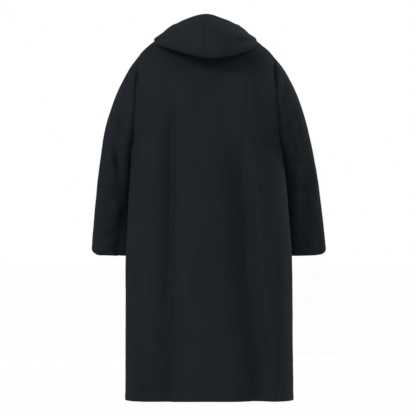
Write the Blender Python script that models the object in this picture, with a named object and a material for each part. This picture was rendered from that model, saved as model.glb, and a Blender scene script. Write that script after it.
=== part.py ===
"""Changing robe in its worn, hollow form: hood down, zip closed, sleeves hanging.

Frame: metres, +Z up, origin at the centre of the base of the neck. +X is the wearer's left, the front faces -Y.
Every cloth panel is a wall of even thickness. Its outer face lies on one draped form, the panels share the points
along their seams, and each panel then draws back from its seams, which leaves a gap of about 0.3 mm.
"""

import math
from typing import NamedTuple

import bmesh
import bpy
from mathutils import Matrix, Vector

# Cloth
WALL = 0.002
SEAM_DRAW = 0.00015
SLEEVE_DRAW = 0.0004
CLOTH_COLOUR = (0.0137, 0.0168, 0.0194)
CLOTH_ROUGHNESS = 0.85

# Mesh
NECK_COLUMNS = 6
SHOULDER_COLUMNS = 5
HALF_COLUMNS = NECK_COLUMNS + SHOULDER_COLUMNS
UPPER_ROWS = 10
LOWER_ROWS = 12
SLEEVE_ROWS = 13
HOOD_ROWS = 14

# Body
HEM_Z = -1.094
HEM_LIFT = 0.008
UNDERARM_Z = -0.315
SIDE_SEAM_Y = -0.005
SHOULDER_Z = -0.047
SHOULDER_X = 0.205
UNDERARM_X = 0.2250
NECK_HALF_WIDTH = 0.085
NECK_BACK = 0.060
NECK_FRONT = 0.085
FRONT_EDGE_X = 0.005
CHEST_SCOOP = 0.010


class BodySection(NamedTuple):
    """A level section of the body's form: a rounded oval, narrow on the shoulders and wide at the hem."""

    z: float
    half_width: float
    back_y: float
    front_y: float
    widest_y: float
    squareness: float


BODY = (
    BodySection(0.050, 0.046, 0.030, -0.028, 0.000, 2.0),
    BodySection(0.030, 0.085, 0.048, -0.041, 0.000, 2.0),
    BodySection(0.008, 0.138, 0.068, -0.060, 0.000, 2.0),
    BodySection(-0.005, 0.160, 0.078, -0.070, -0.002, 2.0),
    BodySection(-0.047, 0.205, 0.101, -0.092, -0.005, 2.05),
    BodySection(-0.100, 0.2240, 0.118, -0.112, -0.006, 2.2),
    BodySection(-0.170, 0.2300, 0.132, -0.129, -0.006, 2.35),
    BodySection(-0.240, 0.2290, 0.140, -0.138, -0.006, 2.4),
    BodySection(-0.315, 0.2250, 0.146, -0.144, -0.001, 2.25),
    BodySection(-0.360, 0.2312, 0.149, -0.147, 0.018, 2.1),
    BodySection(-0.430, 0.2375, 0.153, -0.150, 0.032, 2.05),
    BodySection(-0.520, 0.2435, 0.158, -0.154, 0.038, 2.1),
    BodySection(-0.660, 0.2530, 0.164, -0.161, 0.032, 2.15),
    BodySection(-0.820, 0.2545, 0.169, -0.170, 0.016, 2.25),
    BodySection(-0.980, 0.2555, 0.172, -0.178, 0.004, 2.25),
    BodySection(-1.100, 0.2560, 0.174, -0.184, -0.002, 2.25),
)


class Sway(NamedTuple):
    """How far the cloth at a height stands towards the wearer's left."""

    z: float
    x: float


SWAY = (
    Sway(0.100, 0.0),
    Sway(0.000, 0.0),
    Sway(-0.080, -0.003),
    Sway(-0.280, -0.003),
    Sway(-0.450, -0.0075),
    Sway(-0.700, -0.0105),
    Sway(-1.100, -0.0120),
)


class SleeveSection(NamedTuple):
    """A ring of the sleeve: its outer line, its seam line, its reach front to back, and how far the seam is forward."""

    place: float
    outer_x: float
    outer_z: float
    inner_x: float
    inner_z: float
    middle_y: float
    half_depth: float
    lean: float


SLEEVE = (
    SleeveSection(0.0, 0.2050, -0.047, 0.2250, -0.315, -0.005, 0.068, 0.000),
    SleeveSection(1.0, 0.2365, -0.088, 0.2285, -0.325, -0.010, 0.069, 0.000),
    SleeveSection(2.0, 0.2640, -0.138, 0.2270, -0.343, -0.019, 0.072, 0.008),
    SleeveSection(3.0, 0.2850, -0.188, 0.2245, -0.367, -0.032, 0.075, 0.020),
    SleeveSection(4.0, 0.3030, -0.243, 0.2230, -0.396, -0.047, 0.076, 0.024),
    SleeveSection(5.0, 0.3185, -0.306, 0.2232, -0.430, -0.062, 0.075, 0.022),
    SleeveSection(6.0, 0.3310, -0.370, 0.2255, -0.469, -0.076, 0.073, 0.016),
    SleeveSection(7.0, 0.3415, -0.436, 0.2290, -0.512, -0.087, 0.070, 0.011),
    SleeveSection(8.0, 0.3500, -0.503, 0.2315, -0.557, -0.098, 0.066, 0.006),
    SleeveSection(9.0, 0.3570, -0.572, 0.2338, -0.604, -0.107, 0.062, 0.003),
    SleeveSection(10.0, 0.3625, -0.633, 0.2360, -0.645, -0.112, 0.060, 0.000),
    SleeveSection(11.0, 0.3605, -0.655, 0.2380, -0.659, -0.113, 0.0585, 0.000),
)


class HoodSection(NamedTuple):
    """The hood's path at one turn about the neck (0 front, 180 back), measured out and up from the neck seam."""

    turn: float
    crest_out: float
    crest_up: float
    under_out: float
    under_up: float
    fold_out: float
    fold_up: float
    belly_out: float
    belly_up: float
    brow_out: float
    brow_up: float
    rim_out: float
    rim_up: float


HOOD = (
    HoodSection(0, 0.002, 0.006, 0.004, 0.011, 0.006, 0.016, 0.008, 0.021, 0.010, 0.026, 0.012, 0.031),
    HoodSection(30, 0.003, 0.010, 0.008, 0.014, 0.015, 0.011, 0.021, 0.012, 0.024, 0.018, 0.024, 0.026),
    HoodSection(60, 0.006, 0.014, 0.020, 0.010, 0.036, -0.006, 0.042, -0.003, 0.041, 0.006, 0.034, 0.014),
    HoodSection(90, 0.008, 0.017, 0.030, 0.005, 0.051, -0.015, 0.056, -0.015, 0.047, -0.009, 0.030, 0.001),
    HoodSection(120, 0.008, 0.019, 0.040, -0.004, 0.082, -0.043, 0.091, -0.036, 0.076, -0.019, 0.036, 0.010),
    HoodSection(150, 0.008, 0.021, 0.044, -0.018, 0.090, -0.066, 0.106, -0.052, 0.094, -0.002, 0.042, 0.034),
    HoodSection(180, 0.007, 0.022, 0.044, -0.026, 0.092, -0.080, 0.118, -0.057, 0.106, 0.009, 0.048, 0.054),
)
HOOD_TILT = 0.09
HOOD_LEVEL_TURN = 90


class Fold(NamedTuple):
    """A soft trough (depth below 0) or ridge that runs down a panel between two heights."""

    top_x: float
    top_z: float
    bottom_x: float
    bottom_z: float
    half_width: float
    depth: float


FOLD_FADE_IN = 0.35
FOLD_FADE_OUT = 0.12
BACK_FOLDS = (
    Fold(0.092, -0.150, 0.126, -1.160, 0.030, -0.011),
    Fold(0.055, -0.180, 0.080, -0.900, 0.034, 0.006),
    Fold(-0.085, -0.290, -0.158, -1.180, 0.038, -0.015),
    Fold(-0.170, -0.560, -0.200, -1.180, 0.030, 0.010),
    Fold(-0.020, -0.500, -0.050, -1.180, 0.040, 0.007),
    Fold(0.190, -0.520, 0.205, -1.180, 0.030, -0.006),
)
FRONT_FOLDS = (
    Fold(0.120, -0.200, 0.150, -1.180, 0.034, -0.011),
    Fold(0.070, -0.420, 0.080, -1.180, 0.030, 0.008),
    Fold(-0.105, -0.260, -0.125, -1.180, 0.034, -0.012),
    Fold(-0.180, -0.520, -0.190, -1.180, 0.030, 0.008),
)


class SleeveFold(NamedTuple):
    """A soft trough or ridge on a sleeve: turn is 0 on its outer line and 90 on its back, place as in SLEEVE."""

    top_turn: float
    top_place: float
    bottom_turn: float
    bottom_place: float
    half_width: float
    depth: float


SLEEVE_FOLD_FADE = 0.3
LEFT_SLEEVE_FOLDS = (
    SleeveFold(60, 2.0, 115, 8.5, 24, -0.007),
    SleeveFold(25, 5.0, 60, 11.5, 22, 0.004),
    SleeveFold(-70, 1.5, -110, 8.0, 26, -0.007),
)
RIGHT_SLEEVE_FOLDS = (
    SleeveFold(75, 1.5, 95, 6.5, 22, -0.006),
    SleeveFold(35, 4.5, 95, 10.0, 24, -0.006),
    SleeveFold(-60, 2.0, -105, 9.0, 26, -0.007),
)

# Zip
ZIP_TOP_DROP = 0.004
ZIP_BOTTOM_Z = -1.080
TAPE_EDGE_X = 0.0019
TAPE_REACH_X = 0.0160
TAPE_THICKNESS = 0.001
TAPE_SINK = WALL + 0.0007
CHAIN_EDGE_X = 0.0002
CHAIN_REACH_X = 0.0033
CHAIN_THICKNESS = 0.0016
FITTING_GAP = 0.0003
STOP_LENGTH = 0.004
BOX_LENGTH = 0.009
BOX_HALF_WIDTH = 0.0042
SLIDER_LENGTH = 0.011
SLIDER_HALF_WIDTH = 0.0046
SLIDER_PLATE = 0.0012
SLIDER_GAP = 0.0009
SLIDER_POST_LENGTH = 0.003
SLIDER_POST_WIDTH = 0.003
CHAIN_TOP_GAP = 0.0009
BAIL_WIDTH = 0.002
BAIL_REACH_Z = 0.0022
BAIL_REACH_Y = 0.0032
BAIL_THICKNESS = 0.0010
PULL_BAR = 0.0014
PULL_HALF_WIDTH = 0.0040
PULL_LENGTH = 0.030
PULL_WINDOW_HALF = 0.0025
PULL_WINDOW_LENGTH = 0.0045
BAIL_STEPS = 10
BAIL_FOOT = 0.0004
METAL_COLOUR = (0.060, 0.062, 0.066)
METAL_ROUGHNESS = 0.35
TAPE_ROUGHNESS = 0.6
TAPE_COLOUR = (0.0105, 0.0120, 0.0140)


def smooth_row(table, place):
    """The row of a table at a place along its first column, on a smooth curve through the rows."""
    rows = sorted(table)
    keys = [row[0] for row in rows]
    place = min(max(place, keys[0]), keys[-1])
    last = len(rows) - 1
    low = max(i for i in range(last) if keys[i] <= place)

    def slope(i, column):
        before, after = max(i - 1, 0), min(i + 1, last)
        return (rows[after][column] - rows[before][column]) / (keys[after] - keys[before])

    span = keys[low + 1] - keys[low]
    t = (place - keys[low]) / span
    values = []
    for column in range(len(rows[0])):
        start, end = rows[low][column], rows[low + 1][column]
        leave, arrive = slope(low, column) * span, slope(low + 1, column) * span
        values.append(
            start * (2 * t**3 - 3 * t**2 + 1)
            + leave * (t**3 - 2 * t**2 + t)
            + end * (3 * t**2 - 2 * t**3)
            + arrive * (t**3 - t**2)
        )
    return type(rows[0])(*values)


def smooth_step(t):
    t = min(max(t, 0.0), 1.0)
    return t * t * (3 - 2 * t)


def swayed(point):
    return point + Vector((smooth_row(SWAY, point.z).x, 0, 0))


# ---- The body's form --------------------------------------------------------------------------------------------


def body_point(turn, z):
    """A point of the form: turn is 0 at the centre back, 90 at the side and 180 at the centre front."""
    section = smooth_row(BODY, z)
    across, along = math.sin(math.radians(turn)), math.cos(math.radians(turn))
    power = section.squareness
    reach = (abs(across) ** power + abs(along) ** power) ** (-1 / power)
    depth = section.back_y - section.widest_y if along > 0 else section.widest_y - section.front_y
    return Vector((section.half_width * across * reach, section.widest_y + depth * along * reach, z))


def turn_at(x, z, front):
    """The turn at which the form has this x at this height."""
    section = smooth_row(BODY, z)
    share = min(abs(x) / section.half_width, 1.0)
    rest = (1 - share**section.squareness) ** (1 / section.squareness)
    turn = math.degrees(math.atan2(share, rest))
    return 180 - turn if front else turn


def side_turn(z):
    """The turn of the side seam, which hangs straight down while the form's widest line moves back."""
    section = smooth_row(BODY, z)
    return 90 + math.degrees(math.asin((section.widest_y - SIDE_SEAM_Y) / (section.widest_y - section.front_y)))


def height_over(x, y):
    """The height at which the form passes over a place in the plan, near the neck."""
    low, high = UNDERARM_Z, BODY[0].z
    for _ in range(40):
        z = (low + high) / 2
        section = smooth_row(BODY, z)
        reach = section.back_y if y > section.widest_y else section.front_y
        share = (y - section.widest_y) / (reach - section.widest_y)
        power = section.squareness
        outside = (abs(x) / section.half_width) ** power + share**power > 1
        low, high = (low, z) if outside else (z, high)
    return (low + high) / 2


def neck_place(turn):
    """(turn on the form, height) of the neck seam: an oval in the plan, laid on the form."""
    x = max(NECK_HALF_WIDTH * math.sin(math.radians(turn)), FRONT_EDGE_X if turn > 90 else 0.0)
    along = math.cos(math.radians(turn))
    y = along * (NECK_BACK if along > 0 else NECK_FRONT)
    z = height_over(x, y)
    return turn_at(x, z, front=turn > 90), z


def armhole_place(share, front):
    """(turn on the form, height) on the armhole: share is 0 at the shoulder point and 1 under the arm."""
    middle, half = (SHOULDER_Z + UNDERARM_Z) / 2, (SHOULDER_Z - UNDERARM_Z) / 2
    z = middle + half * math.cos(math.pi * share)
    x = SHOULDER_X + (UNDERARM_X - SHOULDER_X) * share
    x -= (CHEST_SCOOP if front else 0.0) * math.sin(math.pi * share)
    return turn_at(x, z, front), z


def lerp(a, b, t):
    return tuple(p + (q - p) * t for p, q in zip(a, b))


def upper_places(front):
    """Places (turn, height) of half a panel above the underarm, row by row from the top, column 0 at the centre."""
    centre_turn = 180.0 if front else 0.0
    top = [neck_place(abs(centre_turn - 90 * c / NECK_COLUMNS)) for c in range(NECK_COLUMNS)]
    neck_z = height_over(NECK_HALF_WIDTH, 0.0)
    for c in range(SHOULDER_COLUMNS + 1):
        top.append((90.0, neck_z + (SHOULDER_Z - neck_z) * c / SHOULDER_COLUMNS))
    top[-1] = (90.0, SHOULDER_Z)
    bottom = [underarm_place(c / HALF_COLUMNS, front) for c in range(HALF_COLUMNS + 1)]
    rows = []
    for r in range(UPPER_ROWS + 1):
        down = r / UPPER_ROWS
        centre = centre_place(top[0], bottom[0], down, front)
        arm = armhole_place(down, front)
        row = []
        for c in range(HALF_COLUMNS + 1):
            across = c / HALF_COLUMNS
            along = lerp(top[c], bottom[c], down)
            between = lerp(centre, arm, across)
            corners = lerp(lerp(top[0], bottom[0], down), lerp(top[-1], bottom[-1], down), across)
            row.append(tuple(p + q - s for p, q, s in zip(along, between, corners)))
        rows.append(row)
    return rows


def underarm_place(across, front):
    start = turn_at(FRONT_EDGE_X, UNDERARM_Z, front=True) if front else 0.0
    return start + (side_turn(UNDERARM_Z) - start) * across, UNDERARM_Z


def centre_place(top, bottom, down, front):
    z = top[1] + (bottom[1] - top[1]) * down
    return (turn_at(FRONT_EDGE_X, z, front=True) if front else 0.0), z


def lower_places(front):
    """Places of half a panel from below the underarm to the hem, row by row."""
    rows = []
    for r in range(1, LOWER_ROWS + 1):
        row = []
        for c in range(HALF_COLUMNS + 1):
            across = c / HALF_COLUMNS
            hem = HEM_Z + HEM_LIFT * math.cos(math.pi / 2 * across) ** 2
            z = UNDERARM_Z + (hem - UNDERARM_Z) * r / LOWER_ROWS
            start = turn_at(FRONT_EDGE_X, z, front=True) if front else 0.0
            row.append((start + (side_turn(z) - start) * across, z))
        rows.append(row)
    return rows


def fold_offset(folds, x, z):
    """How far the folds move the cloth out at a place on a panel."""
    offset = 0.0
    for fold in folds:
        down = (fold.top_z - z) / (fold.top_z - fold.bottom_z)
        if not 0 < down < 1:
            continue
        middle = fold.top_x + (fold.bottom_x - fold.top_x) * down
        strength = smooth_step(down / FOLD_FADE_IN) * smooth_step((1 - down) / FOLD_FADE_OUT)
        offset += fold.depth * strength * math.exp(-(((x - middle) / fold.half_width) ** 2))
    return offset


def form_normal(turn, z):
    """The level outward normal of the form."""
    step = 0.5
    run = body_point(turn + step, z) - body_point(turn - step, z)
    return Vector((-run.y, run.x, 0)).normalized()


def body_half(side, front):
    """Half a body panel as rows of points from the top, column 0 at the centre; side is 1 on the wearer's left."""
    folds = FRONT_FOLDS if front else BACK_FOLDS
    grid = []
    for places in upper_places(front) + lower_places(front):
        row = []
        for c, (turn, z) in enumerate(places):
            point = body_point(turn, z)
            away = form_normal(turn, z)
            point.x *= side
            away.x *= side
            edge = smooth_step((HALF_COLUMNS - c) / 2)
            if front:
                edge *= smooth_step(c / 2)
            row.append(swayed(point + away * fold_offset(folds, point.x, z) * edge))
        grid.append(row)
    return grid


def back_grid():
    left, right = body_half(1, front=False), body_half(-1, front=False)
    return [list(reversed(a)) + b[1:] for a, b in zip(left, right)]


def front_grid(side):
    half = body_half(side, front=True)
    return half if side > 0 else [list(reversed(row)) for row in half]


# ---- Sleeves ----------------------------------------------------------------------------------------------------


def armhole_ring(side):
    """The armhole seam as a ring of points: from the shoulder down the back, under the arm and up the front."""
    ring = []
    for k in range(2 * UPPER_ROWS):
        front = k > UPPER_ROWS
        share = (2 * UPPER_ROWS - k if front else k) / UPPER_ROWS
        if share in (0, 1):
            place = (90.0, SHOULDER_Z if share == 0 else UNDERARM_Z)
        else:
            place = armhole_place(share, front)
        point = body_point(*place)
        point.x *= side
        ring.append(swayed(point))
    return ring


def sleeve_point(place, turn, side, folds):
    """A point of the sleeve: turn is 0 on the outer line, 90 on the back and 180 on the sleeve's seam."""
    section = smooth_row(SLEEVE, place)
    outer = Vector((section.outer_x, section.middle_y + section.lean, section.outer_z))
    inner = Vector((section.inner_x, section.middle_y - section.lean, section.inner_z))
    angle = math.radians(turn)
    reach = (outer - inner) / 2 * math.cos(angle) + Vector((0, section.half_depth * math.sin(angle), 0))
    away = reach.normalized()
    offset = 0.0
    for fold in folds:
        down = (place - fold.top_place) / (fold.bottom_place - fold.top_place)
        if not 0 < down < 1:
            continue
        middle = fold.top_turn + (fold.bottom_turn - fold.top_turn) * down
        apart = (turn - middle + 180) % 360 - 180
        strength = smooth_step(down / SLEEVE_FOLD_FADE) * smooth_step((1 - down) / SLEEVE_FOLD_FADE)
        offset += fold.depth * strength * math.exp(-((apart / fold.half_width) ** 2))
    point = (outer + inner) / 2 + reach + away * offset
    point.x *= side
    return swayed(point)


def sleeve_grid(side):
    """The sleeve as rings of points, from the armhole seam to the cuff."""
    folds = LEFT_SLEEVE_FOLDS if side > 0 else RIGHT_SLEEVE_FOLDS
    count = 2 * UPPER_ROWS
    grid = [armhole_ring(side)]
    for r in range(1, SLEEVE_ROWS + 1):
        place = SLEEVE[-1].place * r / SLEEVE_ROWS
        grid.append([sleeve_point(place, 360 * k / count, side, folds) for k in range(count)])
    return grid if side > 0 else [[row[0]] + row[:0:-1] for row in grid]


# ---- Hood -------------------------------------------------------------------------------------------------------


def curve_through(points, t):
    """A point on the Catmull-Rom curve through the points, t from 0 to 1."""
    last = len(points) - 1
    i = min(int(t * last), last - 1)
    u = t * last - i
    before = points[i - 1] if i else points[0] * 2 - points[1]
    after = points[i + 2] if i + 2 <= last else points[last] * 2 - points[last - 1]
    a, b = points[i], points[i + 1]
    return (
        a * 2
        + (b - before) * u
        + (before * 2 - a * 5 + b * 4 - after) * u**2
        + (a * 3 - before - b * 3 + after) * u**3
    ) / 2


def hood_grid(side):
    """Half the hood as rows of points, from the neck seam over the crest, under and up the outside to the rim."""
    past_seam = HOOD + (HOOD[-2]._replace(turn=360 - HOOD[-2].turn),)
    columns = []
    for c in range(2 * NECK_COLUMNS + 1):
        turn = 180 * c / (2 * NECK_COLUMNS)
        seam = body_point(*neck_place(180 - turn))
        section = smooth_row(past_seam, turn)
        out = Vector((math.sin(math.radians(turn)), -math.cos(math.radians(turn)), 0))
        path = [seam]
        for i in range(1, len(section), 2):
            path.append(seam + out * section[i] + Vector((0, 0, section[i + 1])))
        column = []
        for r in range(HOOD_ROWS + 1):
            point = curve_through(path, r / HOOD_ROWS)
            point.x *= side
            at_back = smooth_step((turn - HOOD_LEVEL_TURN) / (180 - HOOD_LEVEL_TURN))
            point.z += HOOD_TILT * point.x * math.sin(math.pi * r / HOOD_ROWS) * at_back
            column.append(swayed(point) if r else swayed(Vector((seam.x * side, seam.y, seam.z))))
        columns.append(column)
    grid = [list(row) for row in zip(*columns)]
    return [list(reversed(row)) for row in grid] if side > 0 else grid


# ---- Cloth walls ------------------------------------------------------------------------------------------------


def key_of(point):
    return tuple(round(value, 6) for value in point)


def panel_normals(grid, ring):
    """The normal at each point of one panel, by the point's rounded place."""
    sums = {}
    wide = len(grid[0])
    for r in range(len(grid) - 1):
        for c in range(wide if ring else wide - 1):
            over = (c + 1) % wide
            corners = (grid[r][c], grid[r][over], grid[r + 1][over], grid[r + 1][c])
            normal = (corners[2] - corners[0]).cross(corners[1] - corners[3])
            for corner in corners:
                key = key_of(corner)
                sums[key] = sums.get(key, Vector()) + normal
    return {key: value.normalized() for key, value in sums.items()}


def averaged(normal_maps):
    """The unit average of the normals at each point, where several maps hold the same point."""
    sums = {}
    for normals in normal_maps:
        for key, normal in normals.items():
            sums[key] = sums.get(key, Vector()) + normal
    return {key: value.normalized() for key, value in sums.items()}


def shared_normals(panels):
    """The normals of all panels, halfway between the body, a sleeve or the hood where these meet along a seam."""
    groups = {}
    for grid, group, _, ring in panels.values():
        groups.setdefault(group, []).append(panel_normals(grid, ring))
    return averaged([averaged(maps) for maps in groups.values()])


def drawn_back(grid, r, c, seams, ring, normal):
    """The move that takes a border point off its seam, square to the seam and to the wall."""
    tall, wide = len(grid), len(grid[0])
    move = Vector()
    borders = (
        ("top", r == 0, (1, 0)),
        ("left", c == 0 and not ring, (0, 1)),
        ("right", c == wide - 1 and not ring, (0, -1)),
    )
    for name, on_border, (down, over) in borders:
        if name not in seams or not on_border:
            continue
        inward = grid[r + down][(c + over) % wide] - grid[r][c]
        if down:
            ends = (grid[r][max(c - 1, 0)], grid[r][min(c + 1, wide - 1)])
        else:
            ends = (grid[max(r - 1, 0)][c], grid[min(r + 1, tall - 1)][c])
        along = (ends[1] - ends[0]).normalized()
        inward -= along * inward.dot(along)
        inward -= normal * inward.dot(normal)
        move += inward.normalized() * (SLEEVE_DRAW if ring else SEAM_DRAW)
    return move


def finish(bm, name, colour, metallic, roughness):
    """The mesh as an object of its own, facing out, with its own material."""
    bmesh.ops.recalc_face_normals(bm, faces=bm.faces)
    mesh = bpy.data.meshes.new(name)
    bm.to_mesh(mesh)
    bm.free()
    material = bpy.data.materials.new(name)
    material.use_nodes = True
    shader = material.node_tree.nodes["Principled BSDF"]
    shader.inputs["Base Color"].default_value = (*colour, 1)
    shader.inputs["Metallic"].default_value = metallic
    shader.inputs["Roughness"].default_value = roughness
    mesh.materials.append(material)
    obj = bpy.data.objects.new(name, mesh)
    bpy.context.scene.collection.objects.link(obj)
    return obj


def wall_between(bm, outer, inner, ring):
    """Closes two grids of points into one wall, with a face across each open border."""
    tall, wide = len(outer), len(outer[0])
    faces = [[[bm.verts.new(point) for point in row] for row in grid] for grid in (outer, inner)]
    near, far = faces
    for r in range(tall - 1):
        for c in range(wide if ring else wide - 1):
            over = (c + 1) % wide
            bm.faces.new((near[r][c], near[r + 1][c], near[r + 1][over], near[r][over]))
            bm.faces.new((far[r][c], far[r][over], far[r + 1][over], far[r + 1][c]))
    loop = [(0, c) for c in range(wide)]
    if ring:
        loops = [loop, [(tall - 1, c) for c in range(wide)]]
    else:
        loop += [(r, wide - 1) for r in range(1, tall)]
        loop += [(tall - 1, c) for c in range(wide - 2, -1, -1)]
        loop += [(r, 0) for r in range(tall - 2, 0, -1)]
        loops = [loop]
    for border in loops:
        for i, (r, c) in enumerate(border):
            next_r, next_c = border[(i + 1) % len(border)]
            bm.faces.new((near[r][c], near[next_r][next_c], far[next_r][next_c], far[r][c]))


def cloth_wall(name, grid, normals, seams, ring=False):
    outer, inner = [], []
    for r, row in enumerate(grid):
        away = [normals[key_of(point)] for point in row]
        moved = [p + drawn_back(grid, r, c, seams, ring, away[c]) for c, p in enumerate(row)]
        outer.append(moved)
        inner.append([point - normal * WALL for point, normal in zip(moved, away)])
    bm = bmesh.new()
    wall_between(bm, outer, inner, ring)
    obj = finish(bm, name, CLOTH_COLOUR, 0.0, CLOTH_ROUGHNESS)
    obj.data.shade_smooth()
    return obj


# ---- Zip --------------------------------------------------------------------------------------------------------


def zip_frame(z):
    """Origin on the form at the centre front, X to the wearer's left, Z up along the cloth, -Y out of it."""
    step = 0.004
    place = swayed(body_point(180, z))
    up = (swayed(body_point(180, z + step)) - swayed(body_point(180, z - step))).normalized()
    across = Vector((1, 0, 0))
    into = up.cross(across)
    across = into.cross(up)
    matrix = Matrix((across, into, up)).transposed().to_4x4()
    matrix.translation = place
    return matrix


def zip_strip(name, side, reach, sink, thickness, heights):
    """A strip along the centre front, sunk below the cloth's outer face."""
    outer, inner = [], []
    for z in heights:
        into = zip_frame(z).col[1].xyz
        on_form = [body_point(turn_at(x, z, front=True), z) for x in reach]
        on_form = [swayed(Vector((point.x * side, point.y, z))) for point in on_form]
        outer.append([point + into * sink for point in on_form])
        inner.append([point + into * (sink + thickness) for point in on_form])
    bm = bmesh.new()
    wall_between(bm, outer, inner, ring=False)
    return finish(bm, name, TAPE_COLOUR, 0.0, TAPE_ROUGHNESS)


def add_box(bm, low, high):
    """A box between two corners."""
    size = [b - a for a, b in zip(low, high)]
    centre = Vector([(a + b) / 2 for a, b in zip(low, high)])
    bmesh.ops.create_cube(bm, size=1.0, matrix=Matrix.Translation(centre) @ Matrix.Diagonal((*size, 1)))


def box_object(name, low, high, frame):
    bm = bmesh.new()
    add_box(bm, low, high)
    obj = finish(bm, name, METAL_COLOUR, 1.0, METAL_ROUGHNESS)
    obj.matrix_world = frame
    return obj


def combine(obj, other, operation):
    """Joins or cuts with another object by an exact Boolean; the helper stays hidden."""
    modifier = obj.modifiers.new(f"{operation.lower()}_{other.name}", "BOOLEAN")
    modifier.operation = operation
    modifier.solver = "EXACT"
    modifier.object = other
    other.hide_render = True
    other.display_type = "WIRE"


def bail_arch(name, frame, plate_y):
    """The slider's bridge: half an oval ring in the plane across the zip's face, standing on the front plate."""
    bm = bmesh.new()
    sides = []
    for x in (-BAIL_WIDTH / 2, BAIL_WIDTH / 2):
        rim = []
        for grow in (0.0, BAIL_THICKNESS):
            arc = []
            for k in range(BAIL_STEPS + 1):
                angle = math.pi * k / BAIL_STEPS
                z = (BAIL_REACH_Z + grow) * math.cos(angle)
                y = plate_y - (BAIL_REACH_Y + grow) * math.sin(angle)
                arc.append(bm.verts.new((x, y + (BAIL_FOOT if k in (0, BAIL_STEPS) else 0), z)))
            rim.append(arc)
        sides.append(rim)
    for k in range(BAIL_STEPS):
        for rim in sides:
            bm.faces.new((rim[0][k], rim[0][k + 1], rim[1][k + 1], rim[1][k]))
        for grown in (0, 1):
            a, b = sides[0][grown], sides[1][grown]
            bm.faces.new((a[k], b[k], b[k + 1], a[k + 1]))
    for k in (0, BAIL_STEPS):
        bm.faces.new((sides[0][0][k], sides[1][0][k], sides[1][1][k], sides[0][1][k]))
    obj = finish(bm, name, METAL_COLOUR, 1.0, METAL_ROUGHNESS)
    obj.matrix_world = frame
    return obj


def build_slider(frame):
    """The slider's two plates about the chain, the post between them at the top, the bail and the pull tab."""
    front_in = TAPE_SINK - FITTING_GAP - CHAIN_THICKNESS - SLIDER_GAP
    back_in = TAPE_SINK + TAPE_THICKNESS + SLIDER_GAP
    half = SLIDER_LENGTH / 2
    wide = SLIDER_HALF_WIDTH
    overlap = SLIDER_PLATE / 2
    slider = box_object("zip_slider", (-wide, front_in - SLIDER_PLATE, -half), (wide, front_in, half), frame)
    back = box_object("slider_back_plate", (-wide, back_in, -half), (wide, back_in + SLIDER_PLATE, half), frame)
    post_low = (-SLIDER_POST_WIDTH / 2, front_in - overlap, half - SLIDER_POST_LENGTH)
    post_high = (SLIDER_POST_WIDTH / 2, back_in + overlap, half)
    post = box_object("slider_post", post_low, post_high, frame)
    bail = bail_arch("slider_bail", frame, front_in - SLIDER_PLATE)
    for piece in (post, back, bail):
        combine(slider, piece, "UNION")
    pivot = Vector((0, front_in - SLIDER_PLATE - BAIL_REACH_Y / 2, 0))
    hinge = bpy.data.objects.new("zip_pull_hinge", None)
    bpy.context.scene.collection.objects.link(hinge)
    hinge.matrix_world = frame @ Matrix.Translation(pivot)
    build_pull(hinge)


def build_pull(hinge):
    """The pull tab, hanging from the bail; its bar lies on the hinge's axis."""
    half_bar = PULL_BAR / 2
    tab = box_object(
        "zip_pull",
        (-PULL_HALF_WIDTH, -half_bar, -PULL_LENGTH),
        (PULL_HALF_WIDTH, half_bar, half_bar),
        Matrix(),
    )
    window = box_object(
        "zip_pull_window",
        (-PULL_WINDOW_HALF, -PULL_BAR, -half_bar - PULL_WINDOW_LENGTH),
        (PULL_WINDOW_HALF, PULL_BAR, -half_bar),
        Matrix(),
    )
    for piece in (tab, window):
        piece.parent = hinge
    combine(tab, window, "DIFFERENCE")


def build_zip():
    top_z = neck_place(180)[1] - ZIP_TOP_DROP
    heights = [row[0][1] for row in upper_places(True) + lower_places(True)]
    heights = [top_z] + [z for z in heights if ZIP_BOTTOM_Z < z < top_z] + [ZIP_BOTTOM_Z]
    slider_z = top_z - STOP_LENGTH - FITTING_GAP - SLIDER_LENGTH / 2
    chain_top = slider_z + SLIDER_LENGTH / 2 - SLIDER_POST_LENGTH - CHAIN_TOP_GAP
    chain_bottom = ZIP_BOTTOM_Z + BOX_LENGTH + FITTING_GAP
    chain_heights = [chain_top] + [z for z in heights if chain_bottom < z < chain_top] + [chain_bottom]
    chain_sink = TAPE_SINK - FITTING_GAP - CHAIN_THICKNESS
    for side, word in ((1, "left"), (-1, "right")):
        tape_reach = (TAPE_EDGE_X, TAPE_REACH_X)
        chain_reach = (CHAIN_EDGE_X, CHAIN_REACH_X)
        zip_strip(f"zip_tape_{word}", side, tape_reach, TAPE_SINK, TAPE_THICKNESS, heights)
        zip_strip(f"zip_chain_{word}", side, chain_reach, chain_sink, CHAIN_THICKNESS, chain_heights)
        inner_x, outer_x = sorted((TAPE_EDGE_X * side, CHAIN_REACH_X * side))
        box_object(
            f"zip_top_stop_{word}",
            (inner_x, chain_sink, -STOP_LENGTH),
            (outer_x, TAPE_SINK - FITTING_GAP, -FITTING_GAP),
            zip_frame(top_z),
        )
    box_object(
        "zip_bottom_box",
        (-BOX_HALF_WIDTH, chain_sink - FITTING_GAP, FITTING_GAP),
        (BOX_HALF_WIDTH, TAPE_SINK - FITTING_GAP, BOX_LENGTH),
        zip_frame(ZIP_BOTTOM_Z),
    )
    build_slider(zip_frame(slider_z))


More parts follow.
